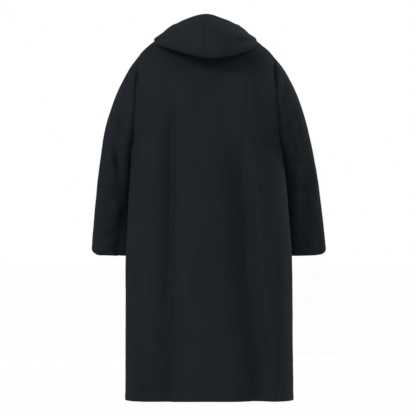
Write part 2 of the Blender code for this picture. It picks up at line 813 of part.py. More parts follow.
def main():
    for obj in list(bpy.data.objects):
        bpy.data.objects.remove(obj)
    panels = {
        "back": (back_grid(), "body", ("top", "left", "right"), False),
        "front_left": (front_grid(1), "body", ("top", "right"), False),
        "front_right": (front_grid(-1), "body", ("top", "left"), False),
        "sleeve_left": (sleeve_grid(1), "sleeve", ("top",), True),
        "sleeve_right": (sleeve_grid(-1), "sleeve", ("top",), True),
        "hood_left": (hood_grid(1), "hood", ("top", "left"), False),
        "hood_right": (hood_grid(-1), "hood", ("top", "right"), False),
    }
    normals = shared_normals(panels)
    for name, (grid, _, seams, ring) in panels.items():
        cloth_wall(name, grid, normals, seams, ring)
    build_zip()


main()
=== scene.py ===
"""Looks of the changing robe: cloth panels with their folds and hems, the zip, the finishes and a studio.

The cloth is worked out on the same draped form as the CAD panels, finer and with the folds that hang in it.
Frame: metres, +Z up, origin at the base of the neck, +X to the wearer's left, the zipped front faces -Y.
"""

import logging
import math
from dataclasses import dataclass, field
from enum import Enum
from typing import Callable

import bmesh
import bpy
import numpy as np
from mathutils import Matrix, Vector


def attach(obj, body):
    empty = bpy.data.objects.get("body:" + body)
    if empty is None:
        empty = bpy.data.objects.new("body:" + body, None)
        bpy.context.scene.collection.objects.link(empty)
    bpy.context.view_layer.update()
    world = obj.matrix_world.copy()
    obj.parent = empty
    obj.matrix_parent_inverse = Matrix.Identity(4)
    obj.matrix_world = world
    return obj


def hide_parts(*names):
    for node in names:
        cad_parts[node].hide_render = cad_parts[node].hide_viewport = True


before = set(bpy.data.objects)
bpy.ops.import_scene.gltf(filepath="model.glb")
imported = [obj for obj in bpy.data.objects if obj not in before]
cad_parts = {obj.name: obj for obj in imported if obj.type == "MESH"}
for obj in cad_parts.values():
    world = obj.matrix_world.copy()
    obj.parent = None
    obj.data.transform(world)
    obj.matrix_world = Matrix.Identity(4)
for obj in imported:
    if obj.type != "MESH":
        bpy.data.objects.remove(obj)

log = logging.getLogger("changing_robe")

ROBE = "robe"
PULL = "zip_pull"
MM = 1000  # millimetres in a metre
HEM_DEPTH = 0.022
EDGE_DEPTH = 0.006
TINY = 1e-12

Array = np.ndarray
Piece = bpy.types.Object
Socket = bpy.types.NodeSocket
Triple = tuple[float, float, float]
Row = tuple[float, ...]


# ---- Smooth tables ----


class SmoothTable:
    """Rows of numbers read at any place along their first column, on a smooth curve through the rows."""

    def __init__(self, rows: list[Row]) -> None:
        """Sorts the rows by their first column and keeps the slope at each.

        Args:
            rows: equal rows of numbers; the first number of each is its place.
        """
        self.rows = np.array(sorted(rows), float)
        keys = self.rows[:, 0]
        before = np.maximum(np.arange(len(keys)) - 1, 0)
        after = np.minimum(np.arange(len(keys)) + 1, len(keys) - 1)
        self.slopes = (self.rows[after] - self.rows[before]) / (keys[after] - keys[before])[:, None]

    def at(self, place: Array) -> Array:
        """Reads the table.

        Args:
            place: any array of places.

        Returns:
            The columns after the first, along a new last axis.
        """
        keys = self.rows[:, 0]
        place = np.clip(np.asarray(place, float), keys[0], keys[-1])
        low = np.clip(np.searchsorted(keys, place, side="right") - 1, 0, len(keys) - 2)
        span = keys[low + 1] - keys[low]
        t = ((place - keys[low]) / span)[..., None]
        span = span[..., None]
        value = (
            self.rows[low] * (2 * t**3 - 3 * t**2 + 1)
            + self.slopes[low] * span * (t**3 - 2 * t**2 + t)
            + self.rows[low + 1] * (3 * t**2 - 2 * t**3)
            + self.slopes[low + 1] * span * (t**3 - t**2)
        )
        return value[..., 1:]


def smooth_step(t: Array) -> Array:
    """Returns 0 below 0, 1 above 1 and an S-shaped rise between."""
    t = np.clip(t, 0.0, 1.0)
    return t * t * (3 - 2 * t)


def curve_through(points: list[Array], t: Array) -> Array:
    """Places on the smooth curve through some points.

    Args:
        points: the points in order, each an array whose last axis is x, y, z.
        t: how far along, from 0 to 1, one number for each place wanted.

    Returns:
        The places, with the axis of t first.
    """
    rows = [(i, *point.ravel()) for i, point in enumerate(points)]
    return SmoothTable(rows).at(t * (len(points) - 1)).reshape(len(t), *points[0].shape)


@dataclass(frozen=True)
class SmoothNoise:
    """Smooth uneven numbers from about -1 to 1 that depend only on the place."""

    seed: int = 7
    mixers: tuple[int, ...] = (73856093, 19349663, 83492791, 2654435761)
    multiplier: int = 1103515245
    increment: int = 12345
    mask: int = 0x7FFFFFFF
    levels: int = 2048
    strength: float = 1.4

    def corner(self, cell: Array) -> Array:
        """Returns a slope for each whole-numbered cell corner."""
        x, y, z = (cell[..., i].astype(np.int64) for i in range(3))
        mixed = self.seed * self.mixers[3]
        for number, mixer in zip((x, y, z), self.mixers):
            mixed = mixed ^ (number * mixer)
        slopes = []
        for step in (1, 2, 3):
            mixed = (mixed * self.multiplier + self.increment * step) & self.mask
            slopes.append((mixed >> 7) % self.levels / ((self.levels - 1) / 2) - 1)
        return np.stack(slopes, -1)

    def at(self, places: Array) -> Array:
        """Reads the noise.

        Args:
            places: x, y, z in units of the noise's size, along the last axis.

        Returns:
            One number for each place.
        """
        cell = np.floor(places)
        inside = places - cell
        ease = inside**3 * (inside * (inside * 6 - 15) + 10)
        total = np.zeros(places.shape[:-1])
        for corner in np.ndindex(2, 2, 2):
            shift = np.array(corner, float)
            share = np.prod(np.where(shift > 0, ease, 1 - ease), -1)
            total += share * (self.corner(cell + shift) * (inside - shift)).sum(-1)
        return total * self.strength


NOISE = SmoothNoise()


# ---- The form that the cloth hangs on ----


@dataclass(frozen=True)
class BodyForm:
    """The body's form: level rounded ovals, with the neckline and the armholes marked on it.

    Columns of sections: z, half width, back y, front y, widest y, squareness. Columns of sway: z, x.
    """

    sections: SmoothTable = SmoothTable([
        (0.050, 0.046, 0.030, -0.028, 0.000, 2.0),
        (0.030, 0.085, 0.048, -0.041, 0.000, 2.0),
        (0.008, 0.138, 0.068, -0.060, 0.000, 2.0),
        (-0.005, 0.160, 0.078, -0.070, -0.002, 2.0),
        (-0.047, 0.205, 0.101, -0.092, -0.005, 2.05),
        (-0.100, 0.2240, 0.118, -0.112, -0.006, 2.2),
        (-0.170, 0.2300, 0.132, -0.129, -0.006, 2.35),
        (-0.240, 0.2290, 0.140, -0.138, -0.006, 2.4),
        (-0.315, 0.2250, 0.146, -0.144, -0.001, 2.25),
        (-0.360, 0.2312, 0.149, -0.147, 0.018, 2.1),
        (-0.430, 0.2375, 0.153, -0.150, 0.032, 2.05),
        (-0.520, 0.2435, 0.158, -0.154, 0.038, 2.1),
        (-0.660, 0.2530, 0.164, -0.161, 0.032, 2.15),
        (-0.820, 0.2545, 0.169, -0.170, 0.016, 2.25),
        (-0.980, 0.2555, 0.172, -0.178, 0.004, 2.25),
        (-1.100, 0.2560, 0.174, -0.184, -0.002, 2.25),
    ])
    sway: SmoothTable = SmoothTable([
        (0.100, 0.0), (0.000, 0.0), (-0.080, -0.003), (-0.280, -0.003),
        (-0.450, -0.0075), (-0.700, -0.0105), (-1.100, -0.0120),
    ])
    top_z: float = 0.050
    hem_z: float = -1.094
    hem_lift: float = 0.008
    underarm_z: float = -0.315
    underarm_x: float = 0.2250
    shoulder_z: float = -0.047
    shoulder_x: float = 0.205
    side_seam_y: float = -0.005
    neck_half_width: float = 0.085
    neck_back: float = 0.060
    neck_front: float = 0.085
    front_edge_x: float = 0.005
    chest_scoop: float = 0.010
    neck_share: float = 6 / 11
    halvings: int = 40

    def swayed(self, points: Array) -> Array:
        """Returns the points moved across by the sway at their heights."""
        moved = points.copy()
        moved[..., 0] += self.sway.at(points[..., 2])[..., 0]
        return moved

    def point(self, turn: Array, z: Array) -> Array:
        """Points of the form.

        Args:
            turn: degrees round it, 0 at the centre back, 90 at the side, 180 at the centre front.
            z: heights, in the same shape.

        Returns:
            x, y, z along a new last axis.
        """
        turn, z = np.broadcast_arrays(np.asarray(turn, float), np.asarray(z, float))
        half, back, front, widest, power = np.moveaxis(self.sections.at(z), -1, 0)
        across, along = np.sin(np.radians(turn)), np.cos(np.radians(turn))
        reach = (np.abs(across) ** power + np.abs(along) ** power) ** (-1 / power)
        depth = np.where(along > 0, back - widest, widest - front)
        return np.stack([half * across * reach, widest + depth * along * reach, z], -1)

    def at_places(self, places: Array, side: int) -> Array:
        """Returns the swayed points at (turn, height) on one side: 1 for the wearer's left, -1 the right."""
        points = self.point(places[..., 0], places[..., 1])
        points[..., 0] *= side
        return self.swayed(points)

    def turn_at(self, x: Array, z: Array, front: bool) -> Array:
        """Finds the turn at which the form has an x at a height.

        Args:
            x: places across.
            z: heights.
            front: True for the front of the form.

        Returns:
            Turns in degrees.
        """
        half, _, _, _, power = np.moveaxis(self.sections.at(z), -1, 0)
        share = np.minimum(np.abs(x) / half, 1.0)
        rest = (1 - share**power) ** (1 / power)
        turn = np.degrees(np.arctan2(share, rest))
        return 180 - turn if front else turn

    def side_turn(self, z: Array) -> Array:
        """Returns the turn of the side seam at these heights."""
        _, _, front, widest, _ = np.moveaxis(self.sections.at(z), -1, 0)
        return 90 + np.degrees(np.arcsin((widest - self.side_seam_y) / (widest - front)))

    def height_over(self, x: Array, y: Array) -> Array:
        """Finds the heights at which the form passes over places in the plan, near the neck.

        Args:
            x: places across.
            y: places front to back.

        Returns:
            The heights.
        """
        x, y = np.broadcast_arrays(np.asarray(x, float), np.asarray(y, float))
        low, high = np.full(x.shape, self.underarm_z), np.full(x.shape, self.top_z)
        for _ in range(self.halvings):
            z = (low + high) / 2
            half, back, front, widest, power = np.moveaxis(self.sections.at(z), -1, 0)
            reach = np.where(y > widest, back, front)
            share = (y - widest) / (reach - widest)
            outside = (np.abs(x) / half) ** power + share**power > 1
            low, high = np.where(outside, low, z), np.where(outside, z, high)
        return (low + high) / 2

    def neck_place(self, turn: Array) -> Array:
        """Finds the neck seam on the form.

        Args:
            turn: turns about the neck.

        Returns:
            The turn on the form and the height, along a new last axis.
        """
        turn = np.asarray(turn, float)
        x = self.neck_half_width * np.sin(np.radians(turn))
        x = np.maximum(x, np.where(turn > 90, self.front_edge_x, 0.0))
        along = np.cos(np.radians(turn))
        y = along * np.where(along > 0, self.neck_back, self.neck_front)
        z = self.height_over(x, y)
        on_form = np.where(turn > 90, self.turn_at(x, z, True), self.turn_at(x, z, False))
        return np.stack([on_form, z], -1)

    def armhole_place(self, share: Array, front: bool) -> Array:
        """Finds the armhole on the form.

        Args:
            share: 0 at the shoulder point and 1 under the arm.
            front: True for its front half.

        Returns:
            The turn on the form and the height, along a new last axis.
        """
        share = np.asarray(share, float)
        middle, half = (self.shoulder_z + self.underarm_z) / 2, (self.shoulder_z - self.underarm_z) / 2
        z = middle + half * np.cos(np.pi * share)
        x = self.shoulder_x + (self.underarm_x - self.shoulder_x) * share
        x = x - (self.chest_scoop if front else 0.0) * np.sin(np.pi * share)
        turn = self.turn_at(x, z, front)
        turn = np.where(share <= 0, 90.0, turn)
        return np.stack([np.where(share >= 1, self.side_turn(self.underarm_z), turn), z], -1)

    def upper_places(self, front: bool, across: Array, down: Array) -> Array:
        """Places (turn, height) of half a panel above the underarm.

        Args:
            front: True for a front panel.
            across: shares from the centre to the armhole; it holds neck_share.
            down: shares from the top edge to the underarm.

        Returns:
            An array of down by across by 2.
        """
        centre_turn = 180.0 if front else 0.0
        on_neck = across <= self.neck_share
        neck_turn = np.abs(centre_turn - 90 * np.minimum(across / self.neck_share, 1.0))
        top = self.neck_place(neck_turn)
        neck_z = float(self.height_over(np.array(self.neck_half_width), np.array(0.0)))
        out = np.clip((across - self.neck_share) / (1 - self.neck_share), 0, 1)
        shoulder = np.stack([np.full(across.shape, 90.0), neck_z + (self.shoulder_z - neck_z) * out], -1)
        top = np.where(on_neck[:, None], top, shoulder)
        bottom = self.level_places(front, across, np.full(across.shape, self.underarm_z))
        centre_z = top[0, 1] + (bottom[0, 1] - top[0, 1]) * down
        start = self.turn_at(np.full(down.shape, self.front_edge_x), centre_z, True) if front else 0 * down
        centre = np.stack([start, centre_z], -1)
        arm = self.armhole_place(down, front)
        a, d = across[None, :, None], down[:, None, None]
        along = top[None] * (1 - d) + bottom[None] * d
        between = centre[:, None] * (1 - a) + arm[:, None] * a
        return along + between - (along[:, :1] * (1 - a) + along[:, -1:] * a)

    def level_places(self, front: bool, across: Array, z: Array) -> Array:
        """Returns places (turn, height) shared out evenly from the centre to the side seam."""
        start = self.turn_at(np.full(z.shape, self.front_edge_x), z, True) if front else 0 * z
        return np.stack([start + (self.side_turn(z) - start) * across, z], -1)

    def lower_places(self, front: bool, across: Array, down: Array) -> Array:
        """Returns places of half a panel from the underarm to the hem, down by across by 2."""
        hem = self.hem_z + self.hem_lift * np.cos(np.pi / 2 * across) ** 2
        z = self.underarm_z + (hem[None] - self.underarm_z) * down[:, None]
        return self.level_places(front, np.broadcast_to(across, z.shape), z)


@dataclass(frozen=True)
class SleeveForm:
    """The sleeve's form. Columns: place, outer x, outer z, inner x, inner z, middle y, half depth, lean."""

    sections: SmoothTable = SmoothTable([
        (0.0, 0.2050, -0.047, 0.2250, -0.315, -0.005, 0.068, 0.000),
        (1.0, 0.2365, -0.088, 0.2285, -0.325, -0.010, 0.069, 0.000),
        (2.0, 0.2640, -0.138, 0.2270, -0.343, -0.019, 0.072, 0.008),
        (3.0, 0.2850, -0.188, 0.2245, -0.367, -0.032, 0.075, 0.020),
        (4.0, 0.3030, -0.243, 0.2230, -0.396, -0.047, 0.076, 0.024),
        (5.0, 0.3185, -0.306, 0.2232, -0.430, -0.062, 0.075, 0.022),
        (6.0, 0.3310, -0.370, 0.2255, -0.469, -0.076, 0.073, 0.016),
        (7.0, 0.3415, -0.436, 0.2290, -0.512, -0.087, 0.070, 0.011),
        (8.0, 0.3500, -0.503, 0.2315, -0.557, -0.098, 0.066, 0.006),
        (9.0, 0.3570, -0.572, 0.2338, -0.604, -0.107, 0.062, 0.003),
        (10.0, 0.3625, -0.633, 0.2360, -0.645, -0.112, 0.060, 0.000),
        (11.0, 0.3605, -0.655, 0.2380, -0.659, -0.113, 0.0585, 0.000),
    ])
    cuff_place: float = 11.0
    cap_reach: float = 1.0

    def point(self, place: Array, turn: Array, side: int) -> Array:
        """Points of the sleeve before the sway.

        Args:
            place: how far down the sleeve, as in the table.
            turn: degrees round it, 0 on the outer line, 90 on the back, 180 on its seam.
            side: 1 on the wearer's left, -1 on the right.

        Returns:
            x, y, z along a new last axis.
        """
        place, turn = np.broadcast_arrays(np.asarray(place, float), np.asarray(turn, float))
        ox, oz, ix, iz, my, depth, lean = np.moveaxis(self.sections.at(place), -1, 0)
        cos, sin = np.cos(np.radians(turn)), np.sin(np.radians(turn))
        x = (ox + ix) / 2 + (ox - ix) / 2 * cos
        z = (oz + iz) / 2 + (oz - iz) / 2 * cos
        return np.stack([x * side, my + lean * cos + depth * sin, z], -1)


@dataclass(frozen=True)
class HoodForm:
    """The hood folded down.

    Columns: turn about the neck, then out and up for crest, under, fold, belly, brow and rim.
    """

    sections: SmoothTable = SmoothTable([
        (0, 0.002, 0.006, 0.004, 0.011, 0.006, 0.016, 0.008, 0.021, 0.010, 0.026, 0.012, 0.031),
        (30, 0.003, 0.010, 0.008, 0.014, 0.015, 0.011, 0.021, 0.012, 0.024, 0.018, 0.024, 0.026),
        (60, 0.006, 0.014, 0.020, 0.010, 0.036, -0.006, 0.042, -0.003, 0.041, 0.006, 0.034, 0.014),
        (90, 0.008, 0.017, 0.030, 0.005, 0.051, -0.015, 0.056, -0.015, 0.047, -0.009, 0.030, 0.001),
        (120, 0.008, 0.019, 0.040, -0.004, 0.082, -0.043, 0.091, -0.036, 0.076, -0.019, 0.036, 0.010),
        (150, 0.008, 0.021, 0.044, -0.018, 0.090, -0.066, 0.106, -0.052, 0.094, -0.002, 0.042, 0.034),
        (180, 0.007, 0.022, 0.044, -0.026, 0.092, -0.080, 0.118, -0.057, 0.106, 0.009, 0.048, 0.054),
        (210, 0.008, 0.021, 0.044, -0.018, 0.090, -0.066, 0.106, -0.052, 0.094, -0.002, 0.042, 0.034),
    ])
    tilt: float = 0.09
    level_turn: float = 90.0

    def grid(self, body: BodyForm, turns: Array, along: Array, side: int) -> Array:
        """Points of half the hood.

        Args:
            body: the form that the neck seam lies on.
            turns: turns about the neck, 0 at the front and 180 at the back.
            along: shares of the path from the neck seam to the rim.
            side: 1 on the wearer's left, -1 on the right.

        Returns:
            An array of along by turns by 3.
        """
        place = body.neck_place(180 - turns)
        seam = body.point(place[..., 0], place[..., 1])
        section = self.sections.at(turns)
        out = np.stack([np.sin(np.radians(turns)), -np.cos(np.radians(turns)), 0 * turns], -1)
        up = np.array([0.0, 0.0, 1.0])
        path = [seam]
        for i in range(0, section.shape[-1], 2):
            path.append(seam + out * section[:, i:i + 1] + up * section[:, i + 1:i + 2])
        points = curve_through(path, along)
        points[..., 0] *= side
        at_back = smooth_step((turns - self.level_turn) / (180 - self.level_turn))
        points[..., 2] += self.tilt * points[..., 0] * np.sin(np.pi * along)[:, None] * at_back[None]
        return body.swayed(points)


# ---- Folds that hang in the cloth ----


class Region(Enum):
    """The part of the robe that a fold is placed on."""

    BACK = "back"
    FRONT = "front"
    LEFT_SLEEVE = "left sleeve"
    RIGHT_SLEEVE = "right sleeve"
    HOOD = "hood"


@dataclass(frozen=True)
class Fold:
    """A soft trough (depth below 0) or ridge along a path, its half width and depth in millimetres.

    On the body a path point is (x, z) in millimetres. On a sleeve it is (place, turn), and on the hood it is
    (turn, share of the path), with the turn below 0 on the wearer's right. start and end are the shares of
    its length over which it fades. lean makes one of its flanks steeper.
    """

    region: Region
    path: tuple[tuple[float, float], ...]
    half_width: float
    depth: float
    start: float = 0.4
    end: float = 0.4
    spread: float = 0.0
    lean: float = 0.0


B, F, L, R, H = Region.BACK, Region.FRONT, Region.LEFT_SLEEVE, Region.RIGHT_SLEEVE, Region.HOOD
FOLDS = (
    # The long soft trough on the wearer's left, with the broad ridge beside it.
    Fold(B, ((100, -110), (108, -240), (113, -400), (121, -620), (130, -860), (128, -1160)),
         18, -23, 0.3, 0.1, 0.3, 0.55),
    Fold(B, ((50, -130), (56, -320), (58, -560), (60, -800), (60, -1150)), 50, 27, 0.32, 0.2, 0.1, -0.6),
    Fold(B, ((196, -360), (204, -600), (212, -900), (212, -1160)), 30, 4, 0.4, 0.2, 0.2),
    # The wide trough on the wearer's right, opening downwards, and the ridge past it.
    Fold(B, ((-98, -240), (-110, -400), (-120, -560), (-130, -720), (-150, -880), (-166, -990),
         (-152, -1160)), 27, -33, 0.3, 0.08, 0.5, 0.5),
    Fold(B, ((-185, -260), (-200, -560), (-214, -840), (-220, -1160)), 34, 6, 0.3, 0.2, 0.2),
    # Short folds at the hem.
    Fold(B, ((-136, -970), (-142, -1060), (-138, -1160)), 9, -5.8, 0.5, 0.1, 0.4),
    Fold(B, ((-176, -930), (-184, -1010), (-196, -1080)), 10, -4.8),
    Fold(B, ((150, -930), (166, -990), (186, -1040)), 11, -4.2),
    Fold(B, ((10, -1020), (50, -1050), (92, -1075)), 11, -3.2),
    # Small creases below the hood and the shoulders.
    Fold(B, ((125, -70), (128, -120), (122, -170)), 9, -4),
    Fold(B, ((160, -90), (150, -140), (146, -200)), 9, -3.6),
    Fold(B, ((-120, -110), (-126, -170), (-120, -240)), 10, -4),
    Fold(B, ((-70, -270), (-78, -330), (-76, -400)), 11, -3.2),
    Fold(B, ((178, -60), (182, -110), (176, -170)), 8, -3.2),
    Fold(B, ((-146, -80), (-158, -140), (-154, -210)), 9, -3.4),
    Fold(B, ((30, -150), (22, -200), (24, -270)), 10, -2.6),
    # From the arms into the back.
    Fold(B, ((212, -82), (207, -140), (199, -215)), 7.5, -8.5, 0.3, 0.4, 0, 0.3),
    Fold(B, ((-206, -62), (-208, -105), (-209, -155)), 7, -8.5, 0.3, 0.4),
    # The fullness under each arm.
    Fold(B, ((225, -290), (226.2, -326), (230, -362)), 17, 4.2),
    Fold(B, ((-225, -290), (-226.2, -326), (-230, -362)), 17, 4.2),
    # The front.
    Fold(F, ((112, -160), (126, -420), (142, -760), (154, -1160)), 22, -25, 0.3, 0.1, 0.5, 0.5),
    Fold(F, ((62, -240), (72, -700), (84, -1160)), 32, 15, 0.4, 0.2, 0.3, -0.4),
    Fold(F, ((-98, -200), (-110, -460), (-122, -780), (-132, -1160)), 21, -26, 0.3, 0.1, 0.5, -0.5),
    Fold(F, ((-166, -300), (-180, -760), (-190, -1160)), 30, 12, 0.4, 0.2, 0.2),
    Fold(F, ((-55, -480), (-62, -860), (-70, -1160)), 18, -10, 0.4, 0.1, 0.3),
    Fold(F, ((190, -440), (200, -800), (208, -1160)), 22, -9, 0.4, 0.1, 0.3),
    Fold(F, ((40, -840), (46, -1000), (48, -1160)), 12, -4, 0.5, 0.1, 0.3),
    Fold(F, ((-150, -880), (-160, -1020), (-158, -1160)), 11, -4.5, 0.5, 0.1, 0.4),
    Fold(F, ((205, -230), (165, -300), (125, -390)), 15, -5.5, 0.4, 0.5, 0.3),
    Fold(F, ((-205, -220), (-168, -300), (-136, -380)), 14, -5.5, 0.4, 0.5, 0.3),
    Fold(F, ((150, -60), (128, -130), (112, -220)), 14, -3, 0.4, 0.5),
    Fold(F, ((-160, -70), (-140, -150), (-130, -240)), 14, -3, 0.4, 0.5),
    # The sleeves: long troughs along the back of the arm and short ones at the elbow.
    Fold(L, ((1.6, 60), (3.5, 78), (5.5, 95), (8, 112)), 17, -11, 0.35, 0.4, 0.3),
    Fold(L, ((4, 35), (4.8, 72), (5.8, 112)), 12, -6.5),
    Fold(L, ((5, 20), (5.6, 50), (6.6, 82)), 11, -4),
    Fold(L, ((5.4, 25), (7.5, 48), (10, 60), (11.6, 66)), 20, 5, 0.4, 0.2),
    Fold(L, ((6.5, 130), (8.5, 118), (11.6, 108)), 18, -8, 0.4, 0.1),
    Fold(L, ((1.5, -70), (4, -88), (8, -110)), 18, -10.5, 0.35, 0.4, 0.3),
    Fold(L, ((4.2, -36), (5.2, -70), (6.4, -104)), 12, -6),
    Fold(L, ((5.6, -20), (6.4, -48), (7.4, -74)), 11, -4),
    Fold(R, ((1.4, 72), (3, 84), (4.5, 92), (6.5, 96)), 16, -10, 0.35, 0.4, 0.3),
    Fold(R, ((4.3, 32), (6, 60), (8, 82), (10, 95)), 17, -10, 0.4, 0.4, 0.2),
    Fold(R, ((3, 112), (3.7, 80), (4.2, 48)), 11, -5.5),
    Fold(R, ((4.6, 116), (5.2, 90), (5.6, 60)), 11, -4.2),
    Fold(R, ((8, 40), (9.6, 52), (11.6, 58)), 16, -4, 0.4, 0.2),
    Fold(R, ((2, -60), (5, -80), (9, -105)), 18, -10.5, 0.35, 0.4, 0.3),
    Fold(R, ((4.8, -32), (5.6, -68), (6.6, -100)), 12, -6),
    Fold(R, ((3.6, -112), (4.2, -84), (4.6, -56)), 11, -4.2),
    # Small creases about the armholes and down the sleeves.
    Fold(L, ((0.9, 40), (1.5, 66), (2, 96)), 9, -4.2, 0.35, 0.45),
    Fold(L, ((2.4, 30), (3.1, 62), (3.6, 100)), 10, -5.8),
    Fold(L, ((6.6, 20), (7.3, 54), (7.8, 96)), 11, -6.5),
    Fold(L, ((8.6, 118), (9.2, 84), (9.6, 52)), 11, -4),
    Fold(L, ((0.8, 120), (1.4, 140), (2.4, 152)), 9, -3),
    Fold(R, ((0.8, 36), (1.3, 62), (1.9, 92)), 9, -4.4, 0.35, 0.45),
    Fold(R, ((2.2, 116), (2.9, 88), (3.3, 50)), 10, -5.6),
    Fold(R, ((6.2, 28), (6.8, 60), (7.2, 100)), 11, -6.8),
    Fold(R, ((7.6, 22), (8.3, 50), (8.8, 88)), 11, -4.2),
    Fold(R, ((9.2, 112), (9.8, 84), (10.3, 60)), 10, -3.4),
    Fold(L, ((1, -40), (1.7, -66), (2.4, -92)), 9, -4, 0.35, 0.45),
    Fold(L, ((7, -24), (7.7, -58), (8.4, -96)), 11, -4.4),
    Fold(R, ((1, -38), (1.6, -64), (2.2, -94)), 9, -4, 0.35, 0.45),
    Fold(R, ((6.8, -26), (7.6, -56), (8.2, -92)), 11, -4.4),
    # The folded hood.
    Fold(H, ((150, 0.86), (166, 0.74), (178, 0.66)), 12, -2.2),
    Fold(H, ((-120, 0.88), (-142, 0.76), (-160, 0.62)), 14, -2.8),
    Fold(H, ((112, 0.9), (126, 0.74), (140, 0.6)), 12, -2.2),
    Fold(H, ((116, 0.76), (130, 0.75), (146, 0.735)), 7.5, -7, 0.2, 0.5, 0, 0.3),
    Fold(H, ((-120, 0.79), (-138, 0.77), (-148, 0.75), (-156, 0.71)), 8, -8, 0.2, 0.4, 0, -0.3),
)


@dataclass
class FoldMap:
    """Works out how far all the folds move the cloth."""

    body: BodyForm
    sleeve: SleeveForm
    hood: HoodForm
    steps: int = 28
    reach: float = 3.2
    shoulder: float = 0.14
    shoulder_place: float = 1.9
    shoulder_width: float = 0.6
    ripple: float = 0.0011
    ripple_size: float = 0.055
    broad: Triple = (1, 1, 0.4)
    fine: Triple = (2.3, 2.3, 1.1)
    fine_shift: float = 7
    fine_share: float = 0.45

    def path_points(self, fold: Fold) -> Array:
        """Lays a fold's path on the form.

        Args:
            fold: the fold.

        Returns:
            Points along its curve.
        """
        t = np.linspace(0, 1, self.steps)
        a, b = curve_through([np.array(p, float) for p in fold.path], t).T
        if fold.region in (Region.BACK, Region.FRONT):
            a, b = a / MM, b / MM
            turn = self.body.turn_at(a, b, fold.region is Region.FRONT)
            points = self.body.point(turn, b)
            points[:, 0] *= np.sign(a)
            return self.body.swayed(points)
        if fold.region is Region.HOOD:
            side = 1 if a.mean() > 0 else -1
            whole = self.hood.grid(self.body, np.abs(a), np.clip(b, 0, 1), side)
            return whole[np.arange(self.steps), np.arange(self.steps)]
        side = 1 if fold.region is Region.LEFT_SLEEVE else -1
        return self.body.swayed(self.sleeve.point(np.minimum(a, self.sleeve.cuff_place), b, side))

    def offset(self, fold: Fold, points: Array, normals: Array) -> Array:
        """How far one fold moves the cloth out.

        Args:
            fold: the fold.
            points: places on the cloth, with x, y, z last.
            normals: the cloth's outward normals there.

        Returns:
            One number for each place.
        """
        path, half_width = self.path_points(fold), fold.half_width / MM
        reach = half_width * self.reach * (1 + abs(fold.spread) + abs(fold.lean))
        near = ((points > path.min(0) - reach) & (points < path.max(0) + reach)).all(-1)
        moved = np.zeros(points.shape[:-1])
        if not near.any():
            return moved
        flat, out = points[near], normals[near]
        start, run = path[:-1], path[1:] - path[:-1]
        beyond = flat[:, None] - start[None]
        share = np.clip((beyond * run).sum(-1) / np.maximum((run**2).sum(-1), TINY), 0, 1)
        apart = beyond - run[None] * share[..., None]
        gap = (apart**2).sum(-1)
        nearest = gap.argmin(1)
        rows = np.arange(len(flat))
        t = (nearest + share[rows, nearest]) / (self.steps - 1)
        away = apart[rows, nearest]
        side = np.cross(run[nearest], out)
        signed = np.sqrt(gap[rows, nearest]) * np.sign((away * side).sum(-1))
        width = half_width * (1 + fold.spread * t) * (1 + fold.lean * np.tanh(signed / half_width))
        square = (signed / width) ** 2
        beside = np.exp(-((np.sqrt(square) - self.shoulder_place) ** 2) / self.shoulder_width)
        shape = np.exp(-square) - self.shoulder * beside
        strength = smooth_step(t / fold.start) * smooth_step((1 - t) / fold.end)
        moved[near] = fold.depth / MM * strength * shape
        return moved

    def ripples(self, points: Array) -> Array:
        """Returns the small uneven ripples of hanging cloth, longer down than across."""
        broad = NOISE.at(points / self.ripple_size * self.broad)
        fine = NOISE.at(points / self.ripple_size * self.fine + self.fine_shift)
        return (broad + self.fine_share * fine) * self.ripple


# ---- Finishes ----


Values = dict[str | int, object]


@dataclass
class Wiring:
    """Short ways to add and link nodes in one tree."""

    tree: bpy.types.NodeTree

    def node(self, kind: str, values: Values | None = None, **settings: object) -> bpy.types.Node:
        """Adds a node.

        Args:
            kind: the node's type.
            values: what goes into its inputs, each a socket that is linked or a value that is set.
            settings: its properties.

        Returns:
            The node.
        """
        made = self.tree.nodes.new(kind)
        for key, value in settings.items():
            setattr(made, key, value)
        self.fill(made, values or {})
        return made

    def fill(self, node: bpy.types.Node, values: Values) -> None:
        """Links or sets a node's inputs.

        Args:
            node: the node.
            values: sockets and values by the inputs' names or numbers.
        """
        for key, value in values.items():
            if isinstance(value, Socket):
                self.tree.links.new(value, node.inputs[key])
            else:
                node.inputs[key].default_value = value

    def maths(self, operation: str, *values: Socket | float) -> Socket:
        """Returns the result of a Math node on numbers or sockets."""
        return self.node("ShaderNodeMath", dict(enumerate(values)), operation=operation).outputs[0]

    def held(self, value: Socket) -> Socket:
        """Returns a number held between 0 and 1."""
        return self.maths("MINIMUM", self.maths("MAXIMUM", value, 0.0), 1.0)

    def noise(self, place: Socket, scale: Socket, stretch: float, detail: float, rough: float = 0.5,
              turn: Triple = (0.0, 0.0, 0.0)) -> Socket:
        """Adds a Noise texture stretched along Z.

        Args:
            place: the place that it is read at.
            scale: how many of its clouds there are in a metre.
            stretch: how much longer they are along Z.
            detail: how many finer layers it has.
            rough: how strong those are.
            turn: how the pattern is turned.

        Returns:
            A number from 0 to 1.
        """
        mapping = {"Vector": place, "Scale": (1.0, 1.0, 1.0 / stretch), "Rotation": turn}
        mapped = self.node("ShaderNodeMapping", mapping, vector_type="POINT").outputs[0]
        values = {"Vector": mapped, "Scale": scale, "Detail": detail, "Roughness": rough}
        return self.node("ShaderNodeTexNoise", values).outputs[0]


